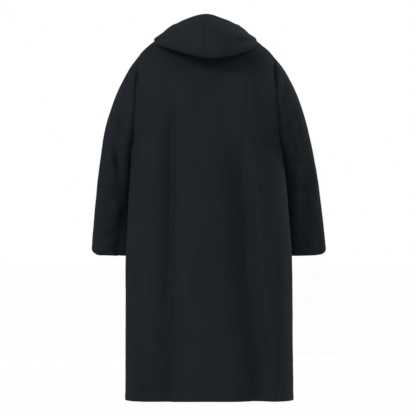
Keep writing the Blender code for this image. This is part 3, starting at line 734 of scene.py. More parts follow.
@dataclass(frozen=True)
class Effect:
    """A node group that several materials use, read at a Vector, with named numbers in and out."""

    name: str
    inputs: tuple[str, ...]
    outputs: tuple[str, ...]
    wire: Callable[[Wiring, dict[str, Socket]], tuple[Socket, ...]]

    def group(self) -> bpy.types.NodeTree:
        """Builds the group once.

        Returns:
            The group.
        """
        if self.name in bpy.data.node_groups:
            return bpy.data.node_groups[self.name]
        group = bpy.data.node_groups.new(self.name, "ShaderNodeTree")
        group.interface.new_socket("Vector", in_out="INPUT", socket_type="NodeSocketVector")
        for label in self.inputs:
            group.interface.new_socket(label, in_out="INPUT", socket_type="NodeSocketFloat")
        for label in self.outputs:
            group.interface.new_socket(label, in_out="OUTPUT", socket_type="NodeSocketFloat")
        w = Wiring(group)
        source, sink = w.node("NodeGroupInput"), w.node("NodeGroupOutput")
        given = {label: source.outputs[label] for label in ("Vector", *self.inputs)}
        w.fill(sink, dict(zip(self.outputs, self.wire(w, given))))
        return group

    def place(self, w: Wiring, where: Socket, *values: float) -> bpy.types.NodeOutputs:
        """Places the group in a material.

        Args:
            w: the material's wiring.
            where: the coordinates that it reads.
            values: its inputs' values, in their order.

        Returns:
            Its outputs by name.
        """
        given = {"Vector": where} | dict(zip(self.inputs, values))
        return w.node("ShaderNodeGroup", given, node_tree=self.group()).outputs


CROWN = 0.4
STREAK_SHARE = 0.12
TONE_SHAPES = ((1.8, 3.0), (6.0, 2.0), (1.0, 1.0))
WEAR_SHAPES = ((1.0, 1.0, 3.0), (0.06, 14.0, 2.0), (0.05, 1.0, 1.0))
WEAR_TURN = (0.3, 0.5, 0.0)


def wire_weave(w: Wiring, given: dict[str, Socket]) -> tuple[Socket, ...]:
    """Wires threads that go over and under one another.

    Args:
        w: the group's wiring.
        given: the coordinates over the cloth and the thread's width.

    Returns:
        The height of the cloth's face, from 0 to 1.
    """
    parts = w.node("ShaderNodeSeparateXYZ", {0: given["Vector"]})
    u, v = (w.maths("DIVIDE", parts.outputs[axis], given["Thread"]) for axis in (0, 1))
    round_u, round_v = (w.maths("ABSOLUTE", w.maths("SINE", w.maths("MULTIPLY", a, math.pi))) for a in (u, v))
    cell = w.maths("ADD", w.maths("FLOOR", u), w.maths("FLOOR", v))
    warp = w.maths("ABSOLUTE", w.maths("MODULO", cell, 2.0))
    over = w.maths("MULTIPLY", round_u, w.maths("MULTIPLY_ADD", round_v, CROWN, 1 - CROWN))
    under = w.maths("MULTIPLY", round_v, w.maths("MULTIPLY_ADD", round_u, CROWN, 1 - CROWN))
    below = w.maths("MULTIPLY", under, w.maths("SUBTRACT", 1.0, warp))
    return (w.maths("MULTIPLY_ADD", over, warp, below),)


def wire_tone(w: Wiring, given: dict[str, Socket]) -> tuple[Socket, ...]:
    """Wires the cloth's uneven tone.

    Args:
        w: the group's wiring.
        given: the place, the size of the broad clouds and the size of the flecks.

    Returns:
        The tone, of broad clouds, streaks down the cloth and fine flecks, and the flecks alone, all 0 to 1.
    """
    sizes = (given["Clouds"], w.maths("MULTIPLY", given["Clouds"], STREAK_SHARE), given["Flecks"])
    broad, streaks, flecks = (
        w.noise(given["Vector"], w.maths("DIVIDE", 1.0, size), stretch, detail, rough=0.55)
        for size, (stretch, detail) in zip(sizes, TONE_SHAPES)
    )
    total = w.maths("MULTIPLY_ADD", streaks, 0.3, w.maths("MULTIPLY", broad, 0.5))
    return w.maths("MULTIPLY_ADD", flecks, 0.2, total), flecks


def wire_wear(w: Wiring, given: dict[str, Socket]) -> tuple[Socket, ...]:
    """Wires the wear of a hard piece.

    Args:
        w: the group's wiring.
        given: the place and the size of the marks.

    Returns:
        Broad cloudy handling marks, fine scratches along the piece and grain, each from 0 to 1.
    """
    place, size = given["Vector"], given["Size"]
    handled, lines, grain = (
        w.noise(place, w.maths("DIVIDE", 1.0 / share, size), stretch, detail, turn=WEAR_TURN)
        for share, stretch, detail in WEAR_SHAPES
    )
    return handled, w.held(w.maths("MULTIPLY_ADD", lines, 4.0, -2.0)), grain


WEAVE = Effect("plain_weave", ("Thread",), ("Height",), wire_weave)
TONE = Effect("cloth_tone", ("Clouds", "Flecks"), ("Tone", "Fuzz"), wire_tone)
WEAR = Effect("handling_wear", ("Size",), ("Marks", "Scratches", "Grain"), wire_wear)


@dataclass(frozen=True)
class Finish:
    """What every finish has: two tones, roughness, shine, and the depth of its surface."""

    name: str
    dark: Triple
    light: Triple
    roughness: float
    shine: float
    relief: float
    bump: float = 0.6
    metallic: float = 0.0

    def surface(self, w: Wiring, place: bpy.types.NodeOutputs) -> tuple[Socket, Socket, Socket]:
        """Wires what varies over the surface.

        Args:
            w: the material's wiring.
            place: its coordinates' outputs.

        Returns:
            The share of the light tone, the roughness and the height.
        """
        raise NotImplementedError

    def material(self) -> bpy.types.Material:
        """Builds the material once.

        Returns:
            The material.
        """
        if self.name in bpy.data.materials:
            return bpy.data.materials[self.name]
        made = bpy.data.materials.new(self.name)
        made.use_nodes = True
        w = Wiring(made.node_tree)
        shader = made.node_tree.nodes["Principled BSDF"]
        share, rough, height = self.surface(w, w.node("ShaderNodeTexCoord").outputs)
        tones = {0: share, 6: (*self.dark, 1), 7: (*self.light, 1)}
        colour = w.node("ShaderNodeMix", tones, data_type="RGBA")
        bump = w.node("ShaderNodeBump", {"Strength": self.bump, "Distance": self.relief, "Height": height})
        w.fill(shader, {
            "Base Color": colour.outputs[2], "Roughness": rough, "Normal": bump.outputs[0],
            "Metallic": self.metallic, "Specular IOR Level": self.shine,
        })
        return made

    def dress(self, piece: Piece) -> None:
        """Gives a piece this finish alone."""
        piece.data.materials.clear()
        piece.data.materials.append(self.material())


@dataclass(frozen=True)
class ClothFinish(Finish):
    """A matte woven cloth or thread."""

    thread: float = 0.00055
    clouds: float = 0.08
    fleck_threads: float = 3
    contrast: float = 2.6
    darken: float = -0.8
    # Share of the weave's height mixed into the tone: painted shade between the threads.
    weave_painted_shade: float = 0.25
    rough_spread: float = 0.16
    fuzz_height: float = 0.8
    over_uv: bool = True

    def surface(self, w: Wiring, place: bpy.types.NodeOutputs) -> tuple[Socket, Socket, Socket]:
        """Wires the weave, the uneven tone and painted shade in the hollows between the threads.

        Args:
            w: the material's wiring.
            place: its coordinates' outputs.

        Returns:
            The share of the light tone, the roughness and the height.
        """
        weave = WEAVE.place(w, place["UV" if self.over_uv else "Object"], self.thread)
        tone = TONE.place(w, place["Object"], self.clouds, self.thread * self.fleck_threads)
        share = w.maths("MULTIPLY_ADD", tone["Tone"], self.contrast, self.darken)
        # The weave's height lightens the thread crowns and darkens the hollows between them: painted shade in
        # the weave.
        share = w.maths("MULTIPLY_ADD", weave["Height"], self.weave_painted_shade, share)
        least = self.roughness - self.rough_spread / 2
        rough = w.maths("MULTIPLY_ADD", tone["Fuzz"], self.rough_spread, least)
        return w.held(share), rough, w.maths("MULTIPLY_ADD", tone["Fuzz"], self.fuzz_height, weave["Height"])


@dataclass(frozen=True)
class HardFinish(Finish):
    """A moulded or cast finish with handling marks, fine scratches and a light grain."""

    wear: float = 0.5
    size: float = 0.004
    mark_tone: float = 0.5
    mark_rough: float = 0.2
    scratch_rough: float = 0.12

    def surface(self, w: Wiring, place: bpy.types.NodeOutputs) -> tuple[Socket, Socket, Socket]:
        """Wires the marks, the scratches and the grain.

        Args:
            w: the material's wiring.
            place: its coordinates' outputs.

        Returns:
            The share of the light tone, the roughness and the height.
        """
        wear = WEAR.place(w, place["Object"], self.size)
        share = w.maths("MULTIPLY", wear["Scratches"], self.wear)
        share = w.maths("MULTIPLY_ADD", wear["Marks"], self.mark_tone, share)
        rough = w.maths("MULTIPLY_ADD", wear["Marks"], self.mark_rough, self.roughness - self.mark_rough / 2)
        rough = w.maths("MULTIPLY_ADD", wear["Scratches"], self.scratch_rough, rough)
        return w.maths("MINIMUM", share, 1.0), rough, w.maths("ADD", wear["Grain"], wear["Scratches"])


# The hood's cloth is the shell cloth painted about an eighth lighter and bluer: painted light on the hood,
# which faces up into the light from above.
HOOD_PAINTED_LIGHT_CLOTH = ClothFinish(
    "robe_hood_painted_light_cloth", dark=(0.0140, 0.0177, 0.0222), light=(0.0200, 0.0245, 0.0302),
    roughness=0.9, shine=0.06, relief=0.00012,
)
SHELL_CLOTH = ClothFinish(
    "robe_shell_cloth", dark=(0.0125, 0.0158, 0.0192), light=(0.0180, 0.0220, 0.0262),
    roughness=0.9, shine=0.06, relief=0.00012,
)
ZIP_TAPE_CLOTH = ClothFinish(
    "zip_tape_weave", dark=(0.0085, 0.0100, 0.0120), light=(0.0150, 0.0175, 0.0205),
    roughness=0.82, shine=0.12, relief=0.00010, thread=0.00042, clouds=0.03,
)
SEWING_THREAD = ClothFinish(
    "sewing_thread", dark=(0.0130, 0.0160, 0.0190), light=(0.0240, 0.0280, 0.0325),
    roughness=0.7, shine=0.18, relief=0.00004, thread=0.00022, clouds=0.05, over_uv=False,
)
MOULDED_TEETH = HardFinish(
    "moulded_tooth_resin", dark=(0.0080, 0.0090, 0.0105), light=(0.0180, 0.0200, 0.0225),
    roughness=0.50, shine=0.28, relief=0.00002, bump=0.4, wear=0.35,
)
DARK_METAL = HardFinish(
    "dark_enamelled_metal", dark=(0.036, 0.038, 0.042), light=(0.120, 0.122, 0.128),
    roughness=0.42, shine=0.5, relief=0.00002, bump=0.4, metallic=1.0,
)


# ---- Cloth panels ----


class Border(Enum):
    """How a panel's border is made."""

    SEAM = "seam"
    HEM = "hem"
    CENTRE = "centre"


class Edge(Enum):
    """Where a border lies on a panel spread out flat, outer face up."""

    TOP = "top"
    BOTTOM = "bottom"
    LEFT = "left"
    RIGHT = "right"


class Group(Enum):
    """Panels whose cloth runs on smoothly from one to the next."""

    BODY = "body"
    SLEEVE = "sleeve"
    HOOD = "hood"
    TAPE = "tape"


class Side(Enum):
    """The wearer's two sides."""

    LEFT = 1
    RIGHT = -1

    @property
    def word(self) -> str:
        """Returns the side's name."""
        return self.name.lower()

    @property
    def centre_edge(self) -> Edge:
        """Returns the edge at the robe's centre of a panel on this side."""
        return Edge[self.name]


@dataclass(frozen=True)
class Cut:
    """What a panel was cut to before it was hung: its width and length, and its area."""

    flat: tuple[float, float]
    area: float


CUTS = {
    "back": Cut((0.70, 1.13), 0.75),
    "front": Cut((0.35, 1.13), 0.33),
    "sleeve": Cut((0.56, 0.62), 0.20),
    "hood": Cut((0.29, 0.35), 0.064),
}


@dataclass
class Panel:
    """One cut piece of cloth: a grid of points on the form, its borders, its CAD node and its cut."""

    name: str
    group: Group
    grid: Array
    borders: dict[Edge, Border] = field(default_factory=dict)
    node: str = ""
    cut: Cut | None = None
    rests_on: tuple[str, ...] = ()
    offset: Array | None = None
    normals: Array | None = None
    outer: Array | None = None

    @property
    def ring(self) -> bool:
        """Returns whether the panel is sewn into a tube."""
        return self.group is Group.SLEEVE

    def run(self, axis: int) -> Array:
        """Returns each point's distance over the cloth down its column (axis 0) or along its row (axis 1)."""
        steps = np.linalg.norm(np.diff(self.grid, axis=axis), axis=-1)
        return np.insert(steps.cumsum(axis), 0, 0.0, axis=axis)

    def distance_to(self, edge: Edge) -> Array:
        """Returns each point's distance over the cloth to one edge."""
        axis = 0 if edge in (Edge.TOP, Edge.BOTTOM) else 1
        run = self.run(axis)
        return run if edge in (Edge.TOP, Edge.LEFT) else run.take([-1], axis) - run

    def line_in(self, edge: Edge, depth: float) -> tuple[Array, Array]:
        """A line over the outer face, so far in from an edge.

        Args:
            edge: the edge.
            depth: its distance from the edge.

        Returns:
            The line's points and the outward normals there.
        """
        away, outer, normals = self.distance_to(edge), self.outer, self.normals
        if edge in (Edge.LEFT, Edge.RIGHT):
            away, outer, normals = away.T, outer.transpose(1, 0, 2), normals.transpose(1, 0, 2)
        if edge in (Edge.BOTTOM, Edge.RIGHT):
            away, outer, normals = away[::-1], outer[::-1], normals[::-1]
        order = np.arange(len(away), dtype=float)
        rows = np.array([np.interp(depth, away[:, c], order) for c in range(away.shape[1])])
        low = np.minimum(rows.astype(int), len(away) - 2)
        part, c = (rows - low)[:, None], np.arange(away.shape[1])
        line, out = (v[low, c] * (1 - part) + v[low + 1, c] * part for v in (outer, normals))
        if self.ring:
            line, out = np.concatenate([line, line[:1]]), np.concatenate([out, out[:1]])
        return line, out

    def columns(self) -> tuple[Array, Array]:
        """Returns the columns that cells start at and the columns after them, round the tube on a ring."""
        wide = self.grid.shape[1]
        start = np.arange(wide if self.ring else wide - 1)
        return start, (start + 1) % wide

    def face_normals(self) -> Array:
        """Sums the normals of the panel's own faces round each point.

        Returns:
            The sums, not yet at length 1.
        """
        total = np.zeros_like(self.grid)
        start, after = self.columns()
        a, d, e, b = np.moveaxis(quads(self.grid, start, after), 2, 0)
        normal = np.cross(e - a, b - d)
        for rows in (slice(0, -1), slice(1, None)):
            for columns in (start, after):
                np.add.at(total, (rows, columns), normal)
        return total


def quads(table: Array, start: Array, after: Array) -> Array:
    """Returns the four corners of each cell of a table, down its first column and up the next."""
    return np.stack([table[:-1, start], table[1:, start], table[1:, after], table[:-1, after]], 2)


def unit(vectors: Array) -> Array:
    """Returns the vectors at length 1."""
    return vectors / np.maximum(np.linalg.norm(vectors, axis=-1, keepdims=True), TINY)


def share_normals(panels: list[Panel]) -> None:
    """Gives each panel its outward normals, halfway between the groups that meet along a seam.

    Args:
        panels: all the panels.
    """
    points = np.concatenate([p.grid.reshape(-1, 3) for p in panels])
    sums = np.concatenate([p.face_normals().reshape(-1, 3) for p in panels])
    groups = np.concatenate([np.full(p.grid[..., 0].size, p.group.value) for p in panels])
    _, where = np.unique(np.round(points, 6), axis=0, return_inverse=True)
    where = where.reshape(-1)
    merged = np.zeros((where.max() + 1, 3))
    for group in sorted(set(groups)):
        mine = groups == group
        own = np.zeros_like(merged)
        np.add.at(own, where[mine], unit(sums[mine]))
        merged += unit(own)
    normals, start = unit(merged)[where], 0
    for panel in panels:
        count = panel.grid[..., 0].size
        panel.normals = normals[start:start + count].reshape(panel.grid.shape)
        start += count


@dataclass(frozen=True)
class ClothShell:
    """Turns a panel into a thin closed wall of cloth with rounded edges."""

    wall: float = 0.002
    rim: float = 0.42
    seam_dip: float = 0.0008
    seam_width: float = 0.0015
    pucker: float = 0.0007
    pucker_size: float = 0.014
    pucker_reach: float = 0.016
    hem_pucker: float = 0.55
    hem_depth: float = HEM_DEPTH
    hem_lift: float = 0.0006
    hem_slope: float = 0.003
    hem_groove: float = 0.0008
    groove_width: float = 0.0013
    edge_depth: float = EDGE_DEPTH
    draw: float = 0.00012

    def edge_relief(self, panel: Panel) -> Array:
        """How far the seams, hems and stitch lines move a panel's cloth out.

        Args:
            panel: the panel, with its grid and borders.

        Returns:
            One number for each point.
        """
        relief = np.zeros(panel.grid.shape[:2])
        uneven = NOISE.at(panel.grid / self.pucker_size) * self.pucker
        for edge, kind in panel.borders.items():
            away = panel.distance_to(edge)
            if kind is Border.SEAM:
                if panel.group is not Group.HOOD:
                    relief -= self.seam_dip * np.exp(-((away / self.seam_width) ** 2))
                relief += uneven * np.exp(-away / self.pucker_reach)
                continue
            depth = self.hem_depth if kind is Border.HEM else self.edge_depth
            relief += self.hem_lift * smooth_step((depth - away) / self.hem_slope + 0.5)
            relief -= self.hem_groove * np.exp(-(((away - depth) / self.groove_width) ** 2))
            relief += uneven * self.hem_pucker * np.exp(-(((away - depth) / (depth / 2)) ** 2))
        return relief

    def shape(self, panel: Panel) -> None:
        """Works out the panel's outer face, with its seams drawn in a hair so two panels never share a face.

        Args:
            panel: the panel, with its normals and its offset.
        """
        panel.outer = panel.grid + panel.normals * (panel.offset + self.edge_relief(panel))[..., None]
        whole = slice(None)
        rows = {
            Edge.TOP: ((0, whole), (2, whole)),
            Edge.BOTTOM: ((-1, whole), (-3, whole)),
            Edge.LEFT: ((whole, 0), (whole, 2)),
            Edge.RIGHT: ((whole, -1), (whole, -3)),
        }
        for edge, kind in panel.borders.items():
            if kind is Border.SEAM:
                border, inside = rows[edge]
                panel.outer[border] += unit(panel.grid[inside] - panel.grid[border]) * self.draw

    def build(self, panel: Panel) -> Piece:
        """Makes the wall.

        Args:
            panel: a shaped panel.

        Returns:
            The cloth as one closed mesh with a UV map in metres over the cloth.
        """
        tall, wide = panel.grid.shape[:2]
        number = np.arange(tall * wide).reshape(tall, wide)
        start, after = panel.columns()
        across, down = panel.run(1), panel.run(0)
        if panel.ring:
            closing = np.linalg.norm(panel.grid[:, 0] - panel.grid[:, -1], axis=-1)
            across = np.concatenate([across, across[:, -1:] + closing[:, None]], 1)
            down = np.concatenate([down, down[:, :1]], 1)
        else:
            across = across - across[:, wide // 2:wide // 2 + 1]
        flat = np.stack([across, -down], -1)
        near, far = panel.outer.reshape(-1, 3), (panel.outer - panel.normals * self.wall).reshape(-1, 3)
        turned = [0, 3, 2, 1]
        near_faces, near_uvs = quads(number, start, after), quads(flat, start, start + 1)
        points = [near, far]
        faces = [near_faces.reshape(-1, 4), (near_faces[:, :, turned] + len(near)).reshape(-1, 4)]
        uvs = [near_uvs.reshape(-1, 2), near_uvs[:, :, turned].reshape(-1, 2)]
        first, flat_uv = 2 * len(near), flat[:, :wide].reshape(-1, 2)
        for loop, inside in self.border_loops(number, panel.ring):
            inward = unit(near[inside] - near[loop])
            points.append((near[loop] + far[loop]) / 2 - inward * self.wall * self.rim)
            middle, there = first + np.arange(len(loop)), np.roll(np.arange(len(loop)), -1)
            corners = flat_uv[loop]
            for a, b in ((loop, middle), (middle, loop + len(near))):
                faces.append(np.stack([a, a[there], b[there], b], -1))
                uvs.append(np.stack([corners, corners[there], corners[there], corners], 1).reshape(-1, 2))
            first += len(loop)
        return mesh_object(panel.name, np.concatenate(points), np.concatenate(faces), np.concatenate(uvs))

    @staticmethod
    def border_loops(number: Array, ring: bool) -> list[tuple[Array, Array]]:
        """The open borders as loops of point numbers, each with the points one step in from them.

        Args:
            number: the outer face's point numbers.
            ring: True for a tube, which has two open borders.

        Returns:
            Pairs of a loop and its inner neighbours.
        """
        if ring:
            return [(number[0], number[1]), (number[-1, ::-1], number[-2, ::-1])]
        inside = np.pad(number[1:-1, 1:-1], 1, mode="edge")
        loop, inner = (
            np.concatenate([n[0], n[1:, -1], n[-1, -2::-1], n[-2:0:-1, 0]]) for n in (number, inside)
        )
        return [(loop, inner)]


def mesh_object(name: str, points: Array, faces: Array, uvs: Array | None = None) -> Piece:
    """A smooth-shaded mesh object from arrays.

    Args:
        name: the piece's name.
        points: its points.
        faces: its quads as point numbers.
        uvs: one pair for each face corner, in metres over the cloth.

    Returns:
        The object, linked to the scene.
    """
    mesh = bpy.data.meshes.new(name)
    mesh.vertices.add(len(points))
    mesh.vertices.foreach_set("co", np.asarray(points, np.float32).ravel())
    mesh.loops.add(faces.size)
    mesh.loops.foreach_set("vertex_index", faces.astype(np.int32).ravel())
    mesh.polygons.add(len(faces))
    mesh.polygons.foreach_set("loop_start", np.arange(0, faces.size, faces.shape[1], dtype=np.int32))
    if uvs is not None:
        layer = mesh.uv_layers.new(name="over_the_cloth")
        layer.data.foreach_set("uv", np.asarray(uvs, np.float32).ravel())
    mesh.update(calc_edges=True)
    mesh.validate()
    mesh.shade_smooth()
    piece = bpy.data.objects.new(name, mesh)
    bpy.context.scene.collection.objects.link(piece)
    return piece


CLOSEST = 0.3


def marks(count: int, length: float, near_start: Row = (), near_end: Row = ()) -> Array:
    """Shares from 0 to 1, even except for closer ones beside the ends.

    Args:
        count: how many even steps.
        length: the real length that the shares cover.
        near_start: distances from the start at which there are extra marks.
        near_end: the same from the end.

    Returns:
        The rising shares.
    """
    room = CLOSEST / count
    extra = [d / length for d in near_start] + [1 - d / length for d in near_end]
    even = [s for s in np.linspace(0, 1, count + 1) if s in (0, 1) or all(abs(s - e) > room for e in extra)]
    return np.array(sorted({round(float(s), 9) for s in even + extra}))


def declare(piece: Piece, finish: Finish, body: str = ROBE, node: str | None = None) -> None:
    """Dresses a piece, attaches it to the body that it rides on and hides the CAD part that it stands for.

    Args:
        piece: the piece.
        finish: its finish.
        body: the body it moves with.
        node: the CAD node that it replaces, if any.
    """
    finish.dress(piece)
    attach(piece, body)
    if node:
        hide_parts(node)
    log.info("%s: %d faces", piece.name, len(piece.data.polygons))


# ---- Stitches ----


@dataclass(frozen=True)
class StitchRow:
    """A row of stitches along one edge of a panel, so far in from it."""

    name: str
    node: str
    edge: Edge = Edge.BOTTOM
    depth: float = HEM_DEPTH


STITCH_ROWS = (
    StitchRow("back_hem_stitches", "back"),
    *(StitchRow(f"front_{side.word}_hem_stitches", f"front_{side.word}") for side in Side),
    *(
        StitchRow(f"front_{side.word}_edge_stitches", f"front_{side.word}", side.centre_edge, EDGE_DEPTH)
        for side in Side
    ),
    *(StitchRow(f"cuff_{side.word}_stitches", f"sleeve_{side.word}") for side in Side),
    *(StitchRow(f"hood_{side.word}_rim_stitches", f"hood_{side.word}") for side in Side),
)


@dataclass(frozen=True)
class Stitching:
    """Lockstitches, each a short rounded rod of thread that dips into the cloth at its ends.

    Columns of shape: share of a stitch's length, share of its thickness, share of its dip.
    """

    length: float = 0.0031
    gap: float = 0.0008
    thick: float = 0.00021
    proud: float = 0.00010
    dip: float = 0.00032
    margin: float = 0.0030
    look_ahead: float = 0.0005
    sides: int = 6
    shape: tuple[Triple, ...] = (
        (0.0, 0.40, 1.0), (0.14, 0.90, 0.35), (0.5, 1.0, 0.0), (0.86, 0.90, 0.35), (1.0, 0.40, 1.0),
    )

    def build(self, name: str, points: Array, normals: Array) -> Piece:
        """Sews one row.

        Args:
            name: the row's name.
            points: places along the row on the cloth's outer face.
            normals: the cloth's outward normals at those places.

        Returns:
            The row as one mesh.
        """
        run = np.concatenate([[0], np.linalg.norm(np.diff(points, axis=0), axis=-1).cumsum()])
        starts = np.arange(self.margin, run[-1] - self.margin - self.length, self.length + self.gap)
        shares, sizes, dips = np.array(self.shape).T
        where = starts[:, None] + shares[None] * self.length

        def along(values: Array, at: Array) -> Array:
            """Reads values along the row at distances from its start."""
            return np.stack([np.interp(at, run, values[:, k]) for k in range(3)], -1)

        out = unit(along(normals, where))
        middle = along(points, where) + out * (self.proud - dips[None] * self.dip)[..., None]
        ahead = unit(along(points, where + self.look_ahead) - along(points, where - self.look_ahead))
        beside = unit(np.cross(ahead, out))
        turns = (np.arange(self.sides) * 2 * math.pi / self.sides)[:, None]
        ring = np.cos(turns) * beside[:, :, None] + np.sin(turns) * out[:, :, None]
        rods = middle[:, :, None] + ring * (self.thick * sizes)[None, :, None, None]
        number = np.arange(where.size * self.sides).reshape(*where.shape, self.sides)
        after = np.roll(number, -1, axis=2)
        walls = np.stack([number[:, :-1], after[:, :-1], after[:, 1:], number[:, 1:]], -1).reshape(-1, 4)
        half = self.sides // 2
        ends = []
        for cap in (number[:, 0, ::-1], number[:, -1]):
            ends += [cap[:, :half + 1], np.concatenate([cap[:, half:], cap[:, :1]], 1)]
        return mesh_object(name, rods.reshape(-1, 3), np.concatenate([walls, *ends]))


# ---- Robe ----


@dataclass
class Robe:
    """The robe's cloth: back, two fronts, two sleeves and the two halves of the hood."""

    body: BodyForm = BodyForm()
    sleeve: SleeveForm = SleeveForm()
    hood: HoodForm = HoodForm()
    shell: ClothShell = ClothShell()
    neck_columns: int = 26
    neck_length: float = 0.135
    shoulder_columns: int = 26
    shoulder_length: float = 0.125
    upper_rows: int = 58
    upper_length: float = 0.27
    lower_rows: int = 150
    lower_length: float = 0.78
    sleeve_rows: int = 130
    sleeve_length: float = 0.58
    hood_rows: int = 60
    hood_length: float = 0.26
    corner_lift: float = 0.0100
    corner_rise: float = 0.9
    corner_power: int = 7
    seam_steps: Row = (0.0009, 0.0020, 0.0034, 0.0056)
    zip_steps: Row = (0.0015, 0.0030, 0.0046, 0.0056, 0.0066, 0.0080)
    edge_steps: Row = (0.0012, 0.0030)
    hem_steps: Row = (-0.0036, -0.0020, -0.0008, 0.0, 0.0008, 0.0022)
    sleeve_fade: float = 0.05
    hood_fade: float = 0.03
    zip_calm: float = 0.012
    hood_front: float = -0.09
    ripple_fade: float = 0.05
    panels: dict[str, Panel] = field(default_factory=dict)

    def half_marks(self, front: bool) -> Array:
        """Shares across half a body panel, with the neck's corner among them.

        Args:
            front: True for a front panel, which has close ones beside the zip.

        Returns:
            The rising shares.
        """
        neck_share = self.body.neck_share
        neck = marks(self.neck_columns, self.neck_length, near_start=self.zip_steps if front else ())
        out = marks(self.shoulder_columns, self.shoulder_length, near_end=self.seam_steps)
        return np.concatenate([neck * neck_share, neck_share + out[1:] * (1 - neck_share)])

    def upper_marks(self) -> Array:
        """Returns the shares down a body panel's upper part, which the armhole takes too."""
        return marks(self.upper_rows, self.upper_length, near_start=self.seam_steps)

    def hem_marks(self, rows: int, length: float, near_start: Row = ()) -> Array:
        """Returns shares down to a hem, with close ones at its edge and its stitch line."""
        stitched = tuple(self.shell.hem_depth + step for step in self.hem_steps)
        return marks(rows, length, near_start=near_start, near_end=(*self.edge_steps, *stitched))

    def body_half(self, side: Side, front: bool) -> Array:
        """Works out half a body panel.

        Args:
            side: the wearer's side.
            front: True for a front panel.

        Returns:
            Its points, rows from the top and columns from the centre.
        """
        across = self.half_marks(front)
        upper = self.body.upper_places(front, across, self.upper_marks())
        lower = self.body.lower_places(front, across, self.hem_marks(self.lower_rows, self.lower_length)[1:])
        return self.body.at_places(np.concatenate([upper, lower]), side.value)

    def sleeve_grid(self, side: Side) -> Array:
        """Works out a sleeve's rings of points, from the armhole seam to the cuff.

        Args:
            side: the wearer's side.

        Returns:
            An array of rings by points by 3.
        """
        shares, up = self.upper_marks(), slice(-2, 0, -1)
        turns = np.concatenate([180 * shares, 360 - 180 * shares[up]])
        down = self.hem_marks(self.sleeve_rows, self.sleeve_length, near_start=self.seam_steps)
        place = down * self.sleeve.cuff_place
        points = self.body.swayed(self.sleeve.point(place[:, None], turns[None], side.value))
        at_cuff = smooth_step((place - self.sleeve.cuff_place + self.corner_rise) / self.corner_rise)
        corner = np.abs(np.cos(np.radians(turns[None]))) ** self.corner_power
        points[..., 2] += self.corner_lift * at_cuff[:, None] * corner
        armhole = [self.body.armhole_place(shares, False), self.body.armhole_place(shares[up], True)]
        ring = self.body.at_places(np.concatenate(armhole), side.value)
        blend = (1 - np.minimum(place / self.sleeve.cap_reach, 1)) ** 2
        points += (ring - points[0])[None] * blend[:, None, None]
        if side is Side.LEFT:
            return points
        return np.concatenate([points[:, :1], points[:, :0:-1]], 1)

    def hood_grid(self, side: Side) -> Array:
        """Works out half the hood, from the neck seam to the rim.

        Args:
            side: the wearer's side.

        Returns:
            An array of rows by columns by 3.
        """
        share = self.body.neck_share
        front, back = self.half_marks(True), self.half_marks(False)
        turns = np.concatenate([
            90 * front[front <= share] / share,
            180 - 90 * back[back <= share][-2::-1] / share,
        ])
        along = self.hem_marks(self.hood_rows, self.hood_length, near_start=self.seam_steps)
        points = self.hood.grid(self.body, turns, along, side.value)
        return points[:, ::-1] if side is Side.LEFT else points

    def cut_out(self) -> list[Panel]:
        """Lays out every panel on the form.

        Returns:
            The back, the fronts, the sleeves and the halves of the hood, the wearer's left first.
        """
        seam, hem, centre = Border.SEAM, Border.HEM, Border.CENTRE
        top, bottom = Edge.TOP, Edge.BOTTOM
        around = {top: seam, Edge.LEFT: seam, Edge.RIGHT: seam, bottom: hem}
        left, right = self.body_half(Side.LEFT, False), self.body_half(Side.RIGHT, False)
        back = np.concatenate([left[:, ::-1], right[:, 1:]], 1)
        made = [Panel("back_cloth", Group.BODY, back, around, "back", CUTS["back"])]

        def add(part: str, group: Group, side: Side, grid: Array, borders: dict[Edge, Border]) -> None:
            """Adds a panel of one side, with the cut of its part."""
            hung_on = ("back",) if group is Group.BODY else ("back", f"front_{side.word}")
            node = f"{part}_{side.word}"
            made.append(Panel(f"{node}_cloth", group, grid, borders, node, CUTS[part], hung_on))

        for side in Side:
            grid = self.body_half(side, True)[:, ::side.value]
            add("front", Group.BODY, side, grid, {**around, side.centre_edge: centre})
        for side in Side:
            add("sleeve", Group.SLEEVE, side, self.sleeve_grid(side), {top: seam, bottom: hem})
        for side in Side:
            borders = {top: seam, side.centre_edge: seam, bottom: hem}
            add("hood", Group.HOOD, side, self.hood_grid(side), borders)
        return made

    def make_panels(self) -> None:
        """Works out every panel with its share of the ripples and folds."""
        made = self.cut_out()
        self.panels = {p.node: p for p in made}
        share_normals(made)
        folds = FoldMap(self.body, self.sleeve, self.hood)
        for panel in made:
            panel.offset = folds.ripples(panel.grid) * self.ripple_share(panel)
            for fold in FOLDS:
                share = self.fold_share(panel, fold)
                if share is not None:
                    panel.offset += folds.offset(fold, panel.grid, panel.normals) * share
            self.shell.shape(panel)

    def ripple_share(self, panel: Panel) -> Array:
        """How much of the ripples a panel takes: little beside the zip, which stays straight.

        Args:
            panel: the panel.

        Returns:
            A share for each point.
        """
        if panel.group is Group.BODY and panel.node != "back":
            return smooth_step((np.abs(panel.grid[..., 0]) - self.zip_calm) / self.ripple_fade)
        if panel.group is Group.HOOD:
            return smooth_step((panel.grid[..., 1] - self.hood_front) / self.ripple_fade)
        return np.ones(panel.grid.shape[:2])

    def fold_share(self, panel: Panel, fold: Fold) -> Array | None:
        """How much of a fold a panel takes, so that the cloth stays joined along its seams.

        Args:
            panel: the panel.
            fold: the fold.

        Returns:
            A share for each point, or None where the panel takes none of it.
        """
        body_fold = fold.region in (Region.BACK, Region.FRONT)
        if panel.group is Group.BODY and body_fold:
            return np.ones(panel.grid.shape[:2])
        if panel.group is Group.SLEEVE:
            below = smooth_step(panel.distance_to(Edge.TOP) / self.sleeve_fade)
            if body_fold:
                return 1 - below
            if fold.region is (Region.LEFT_SLEEVE if panel.node == "sleeve_left" else Region.RIGHT_SLEEVE):
                return below
        if panel.group is Group.HOOD and fold.region is Region.HOOD:
            return smooth_step(panel.distance_to(Edge.TOP) / self.hood_fade)
        return None

